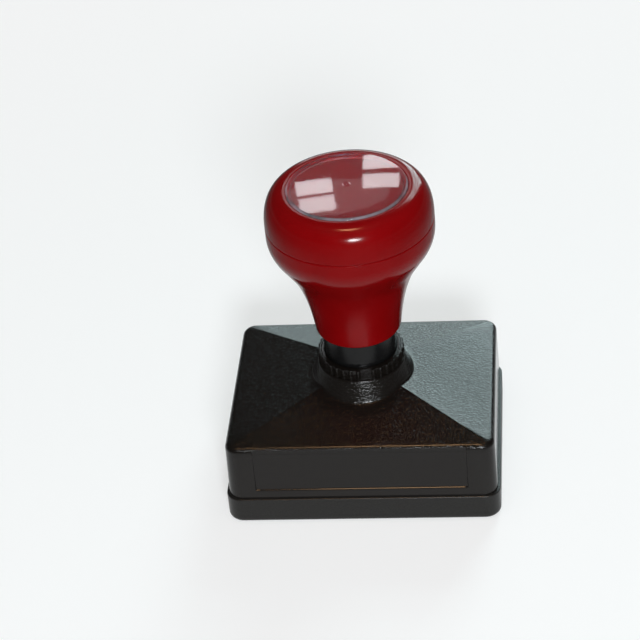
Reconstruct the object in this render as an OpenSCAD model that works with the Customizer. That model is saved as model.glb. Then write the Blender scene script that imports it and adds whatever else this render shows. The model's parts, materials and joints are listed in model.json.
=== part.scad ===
// Pre-inked hand stamp. A print unit hangs on a sprung rod inside a hip-roofed housing, a mushroom
// handle slides down over a guide tube to press it, a knurled ring sets the depth, and a dust cap
// covers the print opening. Millimetres. The origin is the middle of the dust cap's underside,
// X runs along the long side, the label panel faces -Y and +Z is up.

/* [Housing] */
// Width of the housing at the eaves
body_w = 70; // [62:0.5:90]
// Depth of the housing at the eaves
body_d = 55.2; // [48:0.2:75]
// Height of the housing from its open rim to the eaves
body_h = 20.8; // [19:0.2:30]
// How far each wall leans out between the eaves and the rim
body_draft = 0.4; // [0:0.1:1]
// Thickness of the walls at the eaves
body_wall = 2.2; // [1.6:0.1:2.8]
// Radius of the upright corners
corner_r = 3.6; // [3.2:0.1:6]
// Rounding along the eaves
eave_r = 1.6; // [0.6:0.1:2.4]
// Rise of the hipped roof from the eaves to its point
roof_rise = 7.5; // [5.5:0.1:9]
// Thickness of the roof, measured upright
roof_t = 2.1; // [1.5:0.1:2.6]
// Plain margin at each end of the label panel
label_margin = 7.3; // [5:0.1:15]
// Height of the label panel's sill above the rim
label_sill = 7.6; // [7:0.1:12]
// Depth of the label panel
label_depth = 0.35; // [0.1:0.05:0.8]

/* [Dust cap] */
// How far the cap stands proud of the housing's wall
cap_proud = 0.6; // [0.3:0.1:1.2]
// Thickness of the cap's walls
cap_wall = 1.2; // [0.9:0.1:1.8]
// Thickness of the cap's floor
cap_floor = 1.6; // [1:0.1:3]
// How far the cap laps over the housing's rim
cap_lap = 4.9; // [3:0.1:6.5]
// Rounding along the cap's lower edge
cap_edge_r = 1.4; // [0.4:0.1:2.2]
// Room between the pressed die and the cap's floor
cap_gap = 1.2; // [0.6:0.1:3]
// Play between the cap and the housing's skirt
cap_play = 0.15; // [0.1:0.05:0.3]

/* [Guide tube and boss] */
// Radius of the guide tube that the handle slides on
tube_r = 9.5; // [8.8:0.1:10.5]
// Wall of the guide tube
tube_wall = 1.9; // [1.2:0.1:2.2]
// Play between the tube and what slides or turns on it
tube_play = 0.15; // [0.1:0.05:0.3]
// How far the tube's flange reaches past its wall
flange_reach = 4.5; // [4.3:0.1:6]
// Thickness of the tube's flange
flange_t = 2; // [1.5:0.1:3]
// Thickness of the tube's floor
tube_floor = 3; // [2:0.1:5]
// Depth of the flange's seat below the roof's point
seat_drop = 6.1; // [5.6:0.1:7]
// Height of the boss above the roof's point
boss_h = 1.9; // [1:0.1:4]
// Wall of the boss at its mouth
boss_wall = 0.95; // [0.7:0.05:2]
// How far the boss spreads on its way down to the roof
boss_spread = 2.4; // [1.5:0.1:4]

/* [Adjusting ring] */
// Radial thickness of the ring's knurled band
ring_wall = 1.75; // [1.6:0.05:2.5]
// Height of the ring's knurled band
ring_h = 3.1; // [2.4:0.1:5]
// Number of ribs round the ring
ring_ribs = 34; // [26:2:42]
// Radius of each rib
rib_r = 0.62; // [0.4:0.02:0.75]
// How far the ribs stand out of the band
rib_out = 0.35; // [0.2:0.05:0.4]
// Width of the index notch
notch_w = 3; // [1.5:0.1:4]
// Depth of the index notch
notch_depth = 0.6; // [0.4:0.05:0.75]
// Turn of the index notch away from the front, in degrees
notch_turn = 10; // [-45:1:45]
// Climb of the ring in its one full turn
ring_rise = 1.5; // [1:0.1:2.5]
// Wall of the ring's threaded skirt
skirt_t = 0.7; // [0.5:0.05:1]
// Length of the ring's skirt below its knurled band
skirt_len = 4.4; // [3.5:0.1:4.6]
// Play of the thread between the skirt and the boss
thread_play = 0.1; // [0.05:0.05:0.2]
// Thickness of the stop washer let into the ring's top
stop_t = 0.6; // [0.4:0.1:1]
// Radial width of the stop washer
stop_w = 0.85; // [0.7:0.05:1]
// Gap under the ring at its lowest setting
ring_gap = 0.1; // [0.05:0.05:0.3]

/* [Handle] */
// Wall of the stem at its lower end
stem_wall = 1.5; // [1.2:0.1:3]
// Largest radius of the handle's head
head_r = 21.6; // [20:0.1:26]
// Length from the stem's lower end to the seam
handle_len = 33.2; // [30:0.2:45]
// Depth from the seam to the web inside, where the stem starts to flare
bowl_depth = 12.7; // [11.5:0.1:14]
// How far the bowl draws in over that depth
bowl_draw = 4.5; // [3:0.1:6]
// Lean of the bowl's flank from upright, in degrees
bowl_lean = 33; // [27:1:38]
// Length of the rounding between the bowl's flank and its upright rim
bowl_round = 3; // [1:0.1:4]
// Lean of the stem from upright near its lower end, in degrees
stem_lean = 7; // [0:1:9]
// Rounding of the stem's lower edge
stem_edge_r = 0.7; // [0.2:0.1:0.9]
// Wall of the bowl and of the dome
shell_t = 2.2; // [1.6:0.1:3]
// Thickness of the web that the rod is bolted to
web_t = 3; // [2:0.1:4]
// Bevel on each side of the seam
seam_bevel = 0.25; // [0.1:0.05:0.5]
// Height of the dome above the seam
dome_h = 9.4; // [8.5:0.1:14]
// Fullness of the dome: 2 is an ellipse and more is squarer
dome_full = 2.4; // [2:0.05:3]
// Length of the dome's spigot inside the bowl
spigot_len = 3.5; // [2:0.1:4.5]
// Wall of the dome's spigot
spigot_t = 1.2; // [0.8:0.1:2]

/* [Lens] */
// Radius of the lens
lens_r = 15.4; // [12:0.1:16]
// Thickness of the lens
lens_t = 1.5; // [1:0.1:2.5]
// Bevel round the top of the lens
lens_bevel = 0.45; // [0.2:0.05:0.8]
// Radial width of the foot under the lens
lens_foot_w = 1.1; // [0.6:0.1:2]
// Height of that foot, which leaves room for an index card
lens_foot_h = 0.6; // [0.3:0.1:1.2]
// How far the rim of the lens stands above the dome's edge
lens_proud = 0.4; // [0:0.05:0.8]
// How far the middle of the lens rises above its rim
lens_crown = 0.3; // [0.1:0.05:0.8]
// Play round the lens
lens_play = 0.15; // [0.1:0.05:0.3]
// Rounding of the dome's edge round the lens
lens_lip_r = 0.2; // [0.1:0.05:0.6]
// Thickness of the dome's floor under the lens
lens_floor = 2; // [1.2:0.1:3]

/* [Print unit] */
// Travel of the handle and the print unit
stroke = 5; // [3:0.1:6.5]
// Play between the print unit and the housing's walls
unit_play = 0.4; // [0.2:0.05:0.8]
// Wall of the die frame
frame_wall = 1.4; // [1:0.1:2]
// How far the frame's lip reaches under the die
frame_lip = 1.2; // [0.8:0.1:2]
// Thickness of that lip
lip_t = 0.9; // [0.5:0.1:1.2]
// Overhang of the snap noses that hold the carrier down in the frame
nose_out = 0.5; // [0.3:0.1:0.8]
// Height of the snap noses
nose_h = 0.8; // [0.5:0.1:1.2]
// Length of each snap nose
nose_len = 8; // [4:0.5:14]
// Height of the die's printing face below its flange
face_t = 1.4; // [1.3:0.1:2.5]
// Depth of the die's relief
relief_t = 0.5; // [0.2:0.1:0.9]
// Width of the die's raised border and bars
relief_w = 1.5; // [0.8:0.1:3]
// Number of plain bars on the die
relief_bars = 4; // [2:1:6]
// Thickness of the die's flange
die_t = 1.2; // [0.8:0.1:2]
// Thickness of the ink pad
pad_t = 3; // [2:0.1:4]
// Thickness of the carrier's plate
plate_t = 2.4; // [1.8:0.1:3]
// Radius of the carrier's central boss
carrier_boss_r = 8; // [6.5:0.1:8.5]
// Thickness of the ribs on the carrier
brace_t = 1.6; // [1:0.1:3]
// Height of the ribs on the carrier
brace_h = 2.4; // [1:0.1:3]
// Play between pieces of the print unit, and of other close fits
fit_play = 0.1; // [0.05:0.05:0.15]

/* [Rod and spring] */
// Radius of the push rod
rod_r = 3; // [2.6:0.1:3.2]
// Radius of the rod's threaded upper end
rod_end_r = 2; // [1.5:0.1:2.4]
// Wall of the bush that guides the rod
bush_wall = 1; // [0.6:0.1:1.4]
// Thickness of the bush's flange, which seats the spring
bush_flange_t = 1; // [0.6:0.1:2]
// Mean radius of the return spring
spring_r = 5.6; // [5.4:0.1:6.2]
// Radius of the spring's wire
wire_r = 0.5; // [0.35:0.05:0.6]
// Turns of the spring, its two closed ends included
spring_turns = 11; // [6:1:14]
// Free room between the handle and the tube's top at full press
press_room = 1; // [0.5:0.1:3]
// Free room between the stem and the ring at full press and full climb
stem_room = 0.7; // [0.4:0.1:3]

/* [Fasteners] */
// Radius of the flange screws
tube_screw_r = 1; // [0.8:0.05:1.1]
// Radius of the flange screws' heads
tube_head_r = 1.9; // [1.5:0.1:2]
// Height of the flange screws' heads
tube_head_h = 1.3; // [0.8:0.1:2]
// How deep the flange screws bite into the housing
tube_screw_bite = 3; // [2:0.1:3.2]
// Radius of the carrier screw
carrier_screw_r = 1.5; // [1.2:0.1:1.7]
// Radius of the carrier screw's head
carrier_head_r = 2.75; // [2.4:0.05:3.2]
// Height of the carrier screw's head
carrier_head_h = 1.9; // [1.5:0.1:2.4]
// How deep the carrier screw goes into the rod
carrier_screw_bite = 7; // [4:0.5:12]
// Radius of the washer under the carrier screw
carrier_washer_r = 3.6; // [3.3:0.1:4.2]
// Thickness of the washer under the carrier screw
carrier_washer_t = 0.6; // [0.4:0.1:1]
// Thickness of the carrier between its screw and the rod
carrier_floor = 1.2; // [0.8:0.1:2]
// Width of the rod's nut across its flats
nut_af = 7; // [6:0.5:8]
// Height of the rod's nut
nut_h = 3.2; // [2:0.1:4]
// Radius of the washer under the nut
nut_washer_r = 5; // [4.7:0.1:7]
// Thickness of the washer under the nut
nut_washer_t = 0.8; // [0.4:0.1:1.2]
// How far the rod's thread stands out of its nut
rod_past_nut = 1.5; // [0.5:0.1:3]

/* [Hidden] */
$fn = 96;
// Sides of the round corners that are blended into the shells
corner_fn = 32;
// Overshoot of the cuts that pass through a face
cut = 1;

// Heights of the housing, from the table up
rim_z = cap_floor + cap_gap;
cap_h = rim_z + cap_lap;
eave_z = rim_z + body_h;
apex_z = eave_z + roof_rise;
seat_z = apex_z - seat_drop;
boss_top_z = apex_z + boss_h;
ring_z = boss_top_z + ring_gap;
ring_top_z = ring_z + ring_h;

// Heights of the print unit at rest
face_z = rim_z + stroke;
die_z = face_z + face_t;
pad_z = die_z + die_t;
plate_z = pad_z + pad_t;
plate_top_z = plate_z + plate_t;
carrier_stop_z = seat_z - flange_t;
carrier_pocket_h = carrier_washer_t + carrier_head_h + fit_play;
rod_z = plate_z + carrier_pocket_h + carrier_floor;

// Heights of the handle at rest
stem_z = ring_top_z + stroke + ring_rise + stem_room;
seam_z = stem_z + handle_len;
web_z = seam_z - bowl_depth;
web_top_z = web_z + web_t;
top_z = seam_z + dome_h;
lens_rim_z = top_z + lens_proud;
lens_z = lens_rim_z - lens_t;
lens_seat_z = lens_z - lens_foot_h;
nut_z = web_top_z + nut_washer_t;
rod_top_z = nut_z + nut_h + rod_past_nut;

// Plan sizes of the shells, the cap and the print unit
rim_w = body_w + 2 * body_draft;
rim_d = body_d + 2 * body_draft;
cap_w = rim_w + 2 * cap_proud;
cap_d = rim_d + 2 * cap_proud;
cap_r = corner_r + cap_proud;
skirt_in = cap_wall + cap_play;
cavity_w = body_w - 2 * body_wall;
cavity_d = body_d - 2 * body_wall;
cavity_r = corner_r - body_wall;
unit_w = cavity_w - 2 * unit_play;
unit_d = cavity_d - 2 * unit_play;
unit_r = max(cavity_r - unit_play, fit_play);
bed_w = unit_w - 2 * frame_wall;
bed_d = unit_d - 2 * frame_wall;
mouth_w = bed_w - 2 * frame_lip;
mouth_d = bed_d - 2 * frame_lip;

// Radii of the tube, the ring and the boss
tube_bore_r = tube_r - tube_wall;
slide_r = tube_r + tube_play;
flange_r = tube_r + flange_reach;
screw_ring_r = (slide_r + skirt_t + thread_play + flange_r) / 2;
skirt_r = slide_r + skirt_t;
boss_bore_r = skirt_r + thread_play;
boss_r = boss_bore_r + boss_wall;
boss_foot_r = boss_r + boss_spread;
roof_slope = roof_rise / (body_d / 2);
boss_foot_z = apex_z - roof_slope * boss_foot_r - ring_gap;
boss_bore_z = ring_z - skirt_len - thread_play;
ring_r = slide_r + ring_wall;
stop_r = slide_r + stop_w;
tube_top_z = web_z - stroke - press_room;
tube_floor_z = carrier_stop_z + tube_floor;
bush_bore_r = rod_r + fit_play;
bush_r = bush_bore_r + bush_wall;
spring_z = tube_floor_z + bush_flange_t;

// Radii of the handle
stem_r = slide_r + stem_wall;
bowl_bore_r = head_r - shell_t;
spigot_r = bowl_bore_r - fit_play;
lens_seat_r = lens_r + lens_play;

// Lower edge of the stem's side, the point where it becomes the bowl's flank, and the bowl's shoulder
stem_foot = [stem_r + stem_edge_r * tan(stem_lean), stem_z + stem_edge_r];
flare_top = [head_r - bowl_draw, web_z];
flare_knee = crossing(stem_foot, stem_lean, flare_top, bowl_lean);
bowl_shoulder = [head_r, web_z + bowl_draw / tan(bowl_lean)];
bowl_dir = [sin(bowl_lean), cos(bowl_lean)];

// Point where two lines cross, each given by a point and its lean from upright
function crossing(p, p_lean, q, q_lean) =
    let (y = (q.x - p.x + p.y * tan(p_lean) - q.y * tan(q_lean)) / (tan(p_lean) - tan(q_lean)))
    [p.x + (y - p.y) * tan(p_lean), y];

// Smooth bend from a to c that is drawn towards the corner b
function bend(a, b, c, steps = 10) =
    [for (i = [0:steps]) let (t = i / steps) (1 - t) * (1 - t) * a + 2 * t * (1 - t) * b + t * t * c];

// Arc about a centre from one angle to another
function arc(centre, r, from, to, steps = 6) =
    [for (i = [0:steps]) let (a = from + (to - from) * i / steps) centre + r * [cos(a), sin(a)]];

// Rounded rectangle about the origin
module rounded_rect(w, d, r) {
    square([w, d - 2 * r], center = true);
    square([w - 2 * r, d], center = true);
    for (x = [-1, 1], y = [-1, 1])
        translate([x * (w / 2 - r), y * (d / 2 - r)])
            circle(r);
}

// Plate or prism with rounded upright corners, from z up
module rounded_slab(w, d, r, z, h) {
    translate([0, 0, z])
        linear_extrude(h)
            rounded_rect(w, d, r);
}

// Copies of a corner piece at the four corners of a rectangle
module at_corners(w, d, r) {
    for (x = [-1, 1], y = [-1, 1])
        translate([x * (w / 2 - r), y * (d / 2 - r), 0])
            children();
}

// Washer or tube from z up
module sleeve(r_out, r_in, z, h) {
    translate([0, 0, z])
        difference() {
            cylinder(h = h, r = r_out);
            translate([0, 0, -cut])
                cylinder(h = h + 2 * cut, r = r_in);
        }
}

// Copies of a screw piece round the tube's flange
module at_flange_screws() {
    for (a = [45:90:315])
        rotate(a)
            translate([screw_ring_r, 0, 0])
                children();
}

// Outer form of the housing: leaning walls, rounded eaves and a hipped roof with its point on the axis
module housing_form() {
    eave_drop = eave_r * tan(45 - atan(roof_slope) / 2);
    hull() {
        at_corners(rim_w, rim_d, corner_r)
            translate([0, 0, rim_z])
                cylinder(h = cut / 10, r = corner_r, $fn = corner_fn);
        at_corners(body_w, body_d, corner_r)
            translate([0, 0, eave_z - eave_drop])
                rotate_extrude($fn = corner_fn)
                    translate([corner_r - eave_r, 0])
                        circle(eave_r, $fn = corner_fn);
        translate([0, 0, apex_z - cut])
            cylinder(h = cut, r1 = cut / roof_slope * body_d / body_w, r2 = 0, $fn = 4);
    }
}

// Hollow of the housing, which leaves a round seat for the tube's flange under the roof
module housing_hollow() {
    difference() {
        hull() {
            at_corners(cavity_w, cavity_d, cavity_r)
                translate([0, 0, rim_z - cut])
                    cylinder(h = body_h + cut - roof_t, r = cavity_r, $fn = corner_fn);
            translate([0, 0, apex_z - roof_t - cut])
                cylinder(h = cut / 10, r = cut, $fn = corner_fn);
        }
        translate([0, 0, seat_z])
            cylinder(h = seat_drop, r = flange_r + fit_play);
    }
    translate([0, 0, carrier_stop_z])
        cylinder(h = flange_t, r = flange_r + fit_play);
}

module housing() {
    lean = atan(body_draft / body_h);
    color([0.13, 0.12, 0.11])
        difference() {
            union() {
                housing_form();
                translate([0, 0, boss_foot_z])
                    cylinder(h = boss_top_z - boss_foot_z, r1 = boss_foot_r, r2 = boss_r);
            }
            housing_hollow();
            // Step that the cap's wall laps over
            difference() {
                translate([-cap_w / 2, -cap_d / 2, rim_z - cut])
                    cube([cap_w, cap_d, cap_lap + cut]);
                rounded_slab(cap_w - 2 * skirt_in, cap_d - 2 * skirt_in, cap_r - skirt_in,
                    rim_z - 2 * cut, cap_lap + 3 * cut);
            }
            // Shallow label panel on the front, laid along the leaning wall
            translate([0, -rim_d / 2 + label_depth, rim_z])
                rotate([-lean, 0, 0])
                    translate([label_margin - body_w / 2, -2 * cut, label_sill])
                        cube([body_w - 2 * label_margin, 2 * cut, body_h]);
            translate([0, 0, seat_z - cut])
                cylinder(h = seat_drop + boss_h + 2 * cut, r = tube_r + fit_play);
            translate([0, 0, boss_bore_z])
                cylinder(h = boss_top_z - boss_bore_z + cut, r = boss_bore_r);
            at_flange_screws()
                translate([0, 0, seat_z - cut])
                    cylinder(h = tube_screw_bite + fit_play + cut, r = tube_screw_r + fit_play);
        }
}

module guide_tube() {
    color([0.06, 0.06, 0.065])
        difference() {
            union() {
                translate([0, 0, carrier_stop_z])
                    cylinder(h = tube_top_z - carrier_stop_z, r = tube_r);
                translate([0, 0, carrier_stop_z])
                    cylinder(h = flange_t, r = flange_r);
            }
            translate([0, 0, tube_floor_z])
                cylinder(h = tube_top_z - tube_floor_z + cut, r = tube_bore_r);
            translate([0, 0, carrier_stop_z - cut])
                cylinder(h = tube_floor + 2 * cut, r = bush_r + fit_play);
            at_flange_screws()
                translate([0, 0, carrier_stop_z - cut])
                    cylinder(h = flange_t + 2 * cut, r = tube_screw_r + fit_play);
        }
}

module tube_screws() {
    color([0.62, 0.62, 0.64])
        at_flange_screws() {
            translate([0, 0, carrier_stop_z - tube_head_h])
                cylinder(h = tube_head_h, r = tube_head_r);
            translate([0, 0, carrier_stop_z - tube_head_h])
                cylinder(h = tube_head_h + flange_t + tube_screw_bite, r = tube_screw_r);
        }
}

// Plastic bush in the tube's floor: it guides the rod, and its flange seats the spring
module rod_bush() {
    color([0.86, 0.85, 0.8]) {
        sleeve(bush_r, bush_bore_r, carrier_stop_z, tube_floor + bush_flange_t);
        sleeve(tube_bore_r - 2 * fit_play, bush_bore_r, tube_floor_z, bush_flange_t);
    }
}

// Height of the wire's centre after a number of turns: a closed turn at each end and even turns between
function wire_height(turn) =
    let (end_rise = 2 * wire_r + 0.6)
    let (free_len = web_z - spring_z - 2 * wire_r - 2 * fit_play)
    let (pitch = (free_len - 2 * end_rise) / (spring_turns - 2))
    spring_z + wire_r + fit_play + (
        turn < 1 ? turn * end_rise
        : turn > spring_turns - 1 ? free_len - (spring_turns - turn) * end_rise
        : end_rise + (turn - 1) * pitch);

// Centre of the wire after a number of turns
function wire_centre(turn) =
    [spring_r * cos(360 * turn), spring_r * sin(360 * turn), wire_height(turn)];

// Rings of the wire in each turn, and the sides of each ring
wire_steps = 12;
wire_sides = 6;
wire_count = spring_turns * wire_steps;
wire_line = [for (i = [0:wire_count]) wire_centre(i / wire_steps)];
wire_gap = min([
    for (i = [0:wire_count], j = [i + wire_steps / 2:wire_count])
        norm(wire_line[j] - wire_line[i]) - 2 * wire_r
]);

// Return spring round the rod, swept as one unbroken wire
module return_spring() {
    echo(str("Least gap between the spring's turns: ", wire_gap, " mm"));
    points = [
        for (i = [0:wire_count], k = [0:wire_sides - 1])
            let (turn = i / wire_steps, a = 360 * k / wire_sides)
            wire_line[i] + wire_r * [
                cos(a) * cos(360 * turn), cos(a) * sin(360 * turn), sin(a)
            ]
    ];
    sides = [
        for (i = [0:wire_count - 1], k = [0:wire_sides - 1])
            let (p = i * wire_sides + k, q = i * wire_sides + (k + 1) % wire_sides)
            each [[p, q, p + wire_sides], [q, q + wire_sides, p + wire_sides]]
    ];
    last = wire_count * wire_sides;
    ends = [for (k = [1:wire_sides - 2]) each [[0, k + 1, k], [last, last + k, last + k + 1]]];
    color([0.7, 0.7, 0.72])
        polyhedron(points, concat(sides, ends));
}

// Plan of the ring's knurled band, where the index notch takes the place of one rib
module ring_plan() {
    difference() {
        union() {
            circle(ring_r - rib_out);
            for (i = [1:ring_ribs - 1])
                rotate(notch_turn - 90 + 360 * i / ring_ribs)
                    translate([ring_r - rib_r, 0])
                        circle(rib_r);
        }
        rotate(notch_turn)
            translate([-notch_w / 2, -ring_r - cut])
                square([notch_w, notch_depth + cut]);
    }
}

// Depth ring: a knurled band on a threaded skirt that screws into the boss
module adjusting_ring() {
    color([0.1, 0.1, 0.1])
        difference() {
            union() {
                translate([0, 0, ring_z])
                    linear_extrude(ring_h)
                        ring_plan();
                translate([0, 0, ring_z - skirt_len])
                    cylinder(h = skirt_len + cut, r = skirt_r);
            }
            translate([0, 0, ring_z - skirt_len - cut])
                cylinder(h = skirt_len + ring_h + 2 * cut, r = slide_r);
            translate([0, 0, ring_top_z - stop_t])
                cylinder(h = stop_t + cut, r = stop_r + fit_play);
        }
}

// Flat washer in the ring's top that takes the handle's blow without turning
module stop_washer() {
    color([0.12, 0.12, 0.12])
        sleeve(stop_r, slide_r, ring_top_z - stop_t, stop_t);
}

module handle_body() {
    flank_cos = cos(bowl_lean);
    bowl_foot_r = flare_top.x + web_t * tan(bowl_lean) - shell_t / flank_cos;
    bowl_side_z = web_top_z + (bowl_bore_r - bowl_foot_r) / tan(bowl_lean);
    outline = concat(
        [[slide_r, stem_z]],
        arc([stem_r - stem_edge_r, stem_z + stem_edge_r], stem_edge_r, -90, 0),
        bend(stem_foot, flare_knee, flare_top, 12),
        bend(bowl_shoulder - bowl_round * bowl_dir, bowl_shoulder, bowl_shoulder + [0, bowl_round]),
        [[head_r, seam_z - seam_bevel], [head_r - seam_bevel, seam_z]],
        [[bowl_bore_r, seam_z], [bowl_bore_r, bowl_side_z], [bowl_foot_r, web_top_z]],
        [[rod_end_r + fit_play, web_top_z], [rod_end_r + fit_play, web_z], [slide_r, web_z]]
    );
    color([0.5, 0.03, 0.04])
        rotate_extrude()
            polygon(outline);
}

module handle_cap() {
    crest_r = lens_seat_r + lens_lip_r;
    floor_z = lens_seat_z - lens_floor;
    power = 2 / dome_full;
    dome = [
        for (a = [0:6:84])
            [
                crest_r + (head_r - crest_r) * pow(cos(a), power),
                seam_z + seam_bevel + (dome_h - seam_bevel) * pow(sin(a), power)
            ]
    ];
    outline = concat(
        [[spigot_r - spigot_t, seam_z - spigot_len], [spigot_r, seam_z - spigot_len]],
        [[spigot_r, seam_z], [head_r - seam_bevel, seam_z]],
        dome,
        arc([crest_r, top_z - lens_lip_r], lens_lip_r, 90, 180),
        [[lens_seat_r, lens_seat_z], [0, lens_seat_z], [0, floor_z]],
        [[lens_seat_r - shell_t, floor_z], [spigot_r - spigot_t, seam_z]]
    );
    color([0.5, 0.03, 0.04])
        rotate_extrude()
            polygon(outline);
}

module index_lens() {
    foot_in = lens_r - lens_foot_w;
    face_r = lens_r - lens_bevel;
    crown_r = (face_r * face_r + lens_crown * lens_crown) / (2 * lens_crown);
    crown_centre = [0, lens_rim_z + lens_crown - crown_r];
    outline = concat(
        [[0, lens_z], [foot_in, lens_z], [foot_in, lens_seat_z], [lens_r, lens_seat_z]],
        [[lens_r, lens_rim_z - lens_bevel]],
        arc(crown_centre, crown_r, acos(face_r / crown_r), 90)
    );
    color([0.9, 0.92, 0.95, 0.4])
        rotate_extrude()
            polygon(outline);
}

module push_rod() {
    color([0.72, 0.72, 0.74])
        difference() {
            union() {
                translate([0, 0, rod_z])
                    cylinder(h = web_z - rod_z, r = rod_r);
                translate([0, 0, web_z - cut])
                    cylinder(h = rod_top_z - web_z + cut, r = rod_end_r);
            }
            translate([0, 0, rod_z - cut])
                cylinder(h = carrier_screw_bite + 2 * cut, r = carrier_screw_r + fit_play);
        }
}

module rod_nut() {
    color([0.72, 0.72, 0.74])
        translate([0, 0, nut_z])
            difference() {
                cylinder(h = nut_h, r = nut_af / 2 / cos(30), $fn = 6);
                translate([0, 0, -cut])
                    cylinder(h = nut_h + 2 * cut, r = rod_end_r + fit_play);
            }
}

module rod_washer() {
    color([0.72, 0.72, 0.74])
        sleeve(nut_washer_r, rod_end_r + fit_play, web_top_z, nut_washer_t);
}

module die_carrier() {
    plate_w = bed_w - 2 * fit_play;
    plate_d = bed_d - 2 * fit_play;
    pocket_r = carrier_washer_r + 2 * fit_play;
    color([0.16, 0.16, 0.17])
        difference() {
            union() {
                rounded_slab(plate_w, plate_d, unit_r, plate_z, plate_t);
                translate([0, 0, plate_z])
                    cylinder(h = carrier_stop_z - plate_z, r = carrier_boss_r);
                translate([-plate_w / 2, -brace_t / 2, plate_top_z - cut])
                    cube([plate_w, brace_t, brace_h + cut]);
                translate([-brace_t / 2, -plate_d / 2, plate_top_z - cut])
                    cube([brace_t, plate_d, brace_h + cut]);
            }
            // The snap noses of the frame clear the ends of the braces
            difference() {
                translate([-unit_w / 2, -unit_d / 2, plate_top_z])
                    cube([unit_w, unit_d, brace_h + cut]);
                translate([0, 0, plate_top_z - cut])
                    linear_extrude(carrier_stop_z)
                        square([bed_w - 4 * nose_out, bed_d - 4 * nose_out], center = true);
            }
            translate([0, 0, plate_z - cut])
                cylinder(h = carrier_pocket_h + cut, r = pocket_r);
            translate([0, 0, plate_z])
                cylinder(h = carrier_stop_z - plate_z, r = carrier_screw_r + fit_play);
            translate([0, 0, rod_z])
                cylinder(h = carrier_stop_z - rod_z + cut, r = rod_r + fit_play);
        }
}

module carrier_screw() {
    head_z = plate_z + fit_play;
    color([0.62, 0.62, 0.64]) {
        translate([0, 0, head_z])
            cylinder(h = carrier_head_h, r = carrier_head_r);
        translate([0, 0, head_z])
            cylinder(h = rod_z - head_z + carrier_screw_bite, r = carrier_screw_r);
    }
}

module carrier_washer() {
    color([0.62, 0.62, 0.64])
        sleeve(carrier_washer_r, carrier_screw_r + fit_play,
            rod_z - carrier_floor - carrier_washer_t, carrier_washer_t);
}

// Foam pad that holds the ink above the die
module ink_pad() {
    color([0.25, 0.05, 0.06])
        rounded_slab(bed_w - 2 * fit_play, bed_d - 2 * fit_play, unit_r, pad_z, pad_t);
}

// Die with a flange to hold it, a raised border and plain raised bars
module stamp_die() {
    face_w = mouth_w - 2 * fit_play;
    face_d = mouth_d - 2 * fit_play;
    field_w = face_w - 2 * relief_w;
    field_d = face_d - 2 * relief_w;
    bar_pitch = field_d / (relief_bars + 1);
    color([0.35, 0.1, 0.1]) {
        rounded_slab(bed_w - 2 * fit_play, bed_d - 2 * fit_play, unit_r, die_z, die_t);
        difference() {
            rounded_slab(face_w, face_d, unit_r, face_z, face_t + die_t / 2);
            translate([-field_w / 2, -field_d / 2, face_z - cut])
                cube([field_w, field_d, relief_t + cut]);
        }
        for (i = [1:relief_bars])
            translate([-field_w / 2 + 2 * relief_w, i * bar_pitch - field_d / 2 - relief_w / 2, face_z])
                cube([field_w - 4 * relief_w, relief_w, relief_t + die_t / 2]);
    }
}

// Frame that clips the die, the pad and the carrier together
module die_frame() {
    lip_z = die_z - lip_t;
    top = plate_top_z + fit_play + nose_h;
    color([0.2, 0.2, 0.21]) {
        difference() {
            rounded_slab(unit_w, unit_d, unit_r, lip_z, top - lip_z);
            rounded_slab(bed_w, bed_d, unit_r, die_z, top);
            rounded_slab(mouth_w, mouth_d, unit_r, lip_z - cut, lip_t + 2 * cut);
        }
        for (side = [0, 180])
            rotate(side) {
                translate([bed_w / 2 - nose_out, -nose_len / 2, plate_top_z + fit_play])
                    cube([nose_out + frame_wall / 2, nose_len, nose_h]);
                translate([-nose_len / 2, bed_d / 2 - nose_out, plate_top_z + fit_play])
                    cube([nose_len, nose_out + frame_wall / 2, nose_h]);
            }
    }
}

module dust_cap() {
    edge = arc([cap_r - cap_edge_r, cap_edge_r], cap_edge_r, -90, 0);
    color([0.12, 0.115, 0.11])
        difference() {
            hull()
                at_corners(cap_w, cap_d, cap_r)
                    rotate_extrude($fn = corner_fn)
                        polygon(concat([[0, 0]], edge, [[cap_r, cap_h], [0, cap_h]]));
            rounded_slab(cap_w - 2 * cap_wall, cap_d - 2 * cap_wall, cap_r - cap_wall, cap_floor, cap_h);
        }
}

housing();
guide_tube();
tube_screws();
rod_bush();
return_spring();
adjusting_ring();
stop_washer();
handle_body();
handle_cap();
index_lens();
push_rod();
rod_nut();
rod_washer();
die_carrier();
carrier_screw();
carrier_washer();
ink_pad();
stamp_die();
die_frame();
dust_cap();
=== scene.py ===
import json
from math import asin, atan, cos, pi, radians, sin, tan

import bmesh
import bpy
from mathutils import Matrix, Vector

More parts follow.
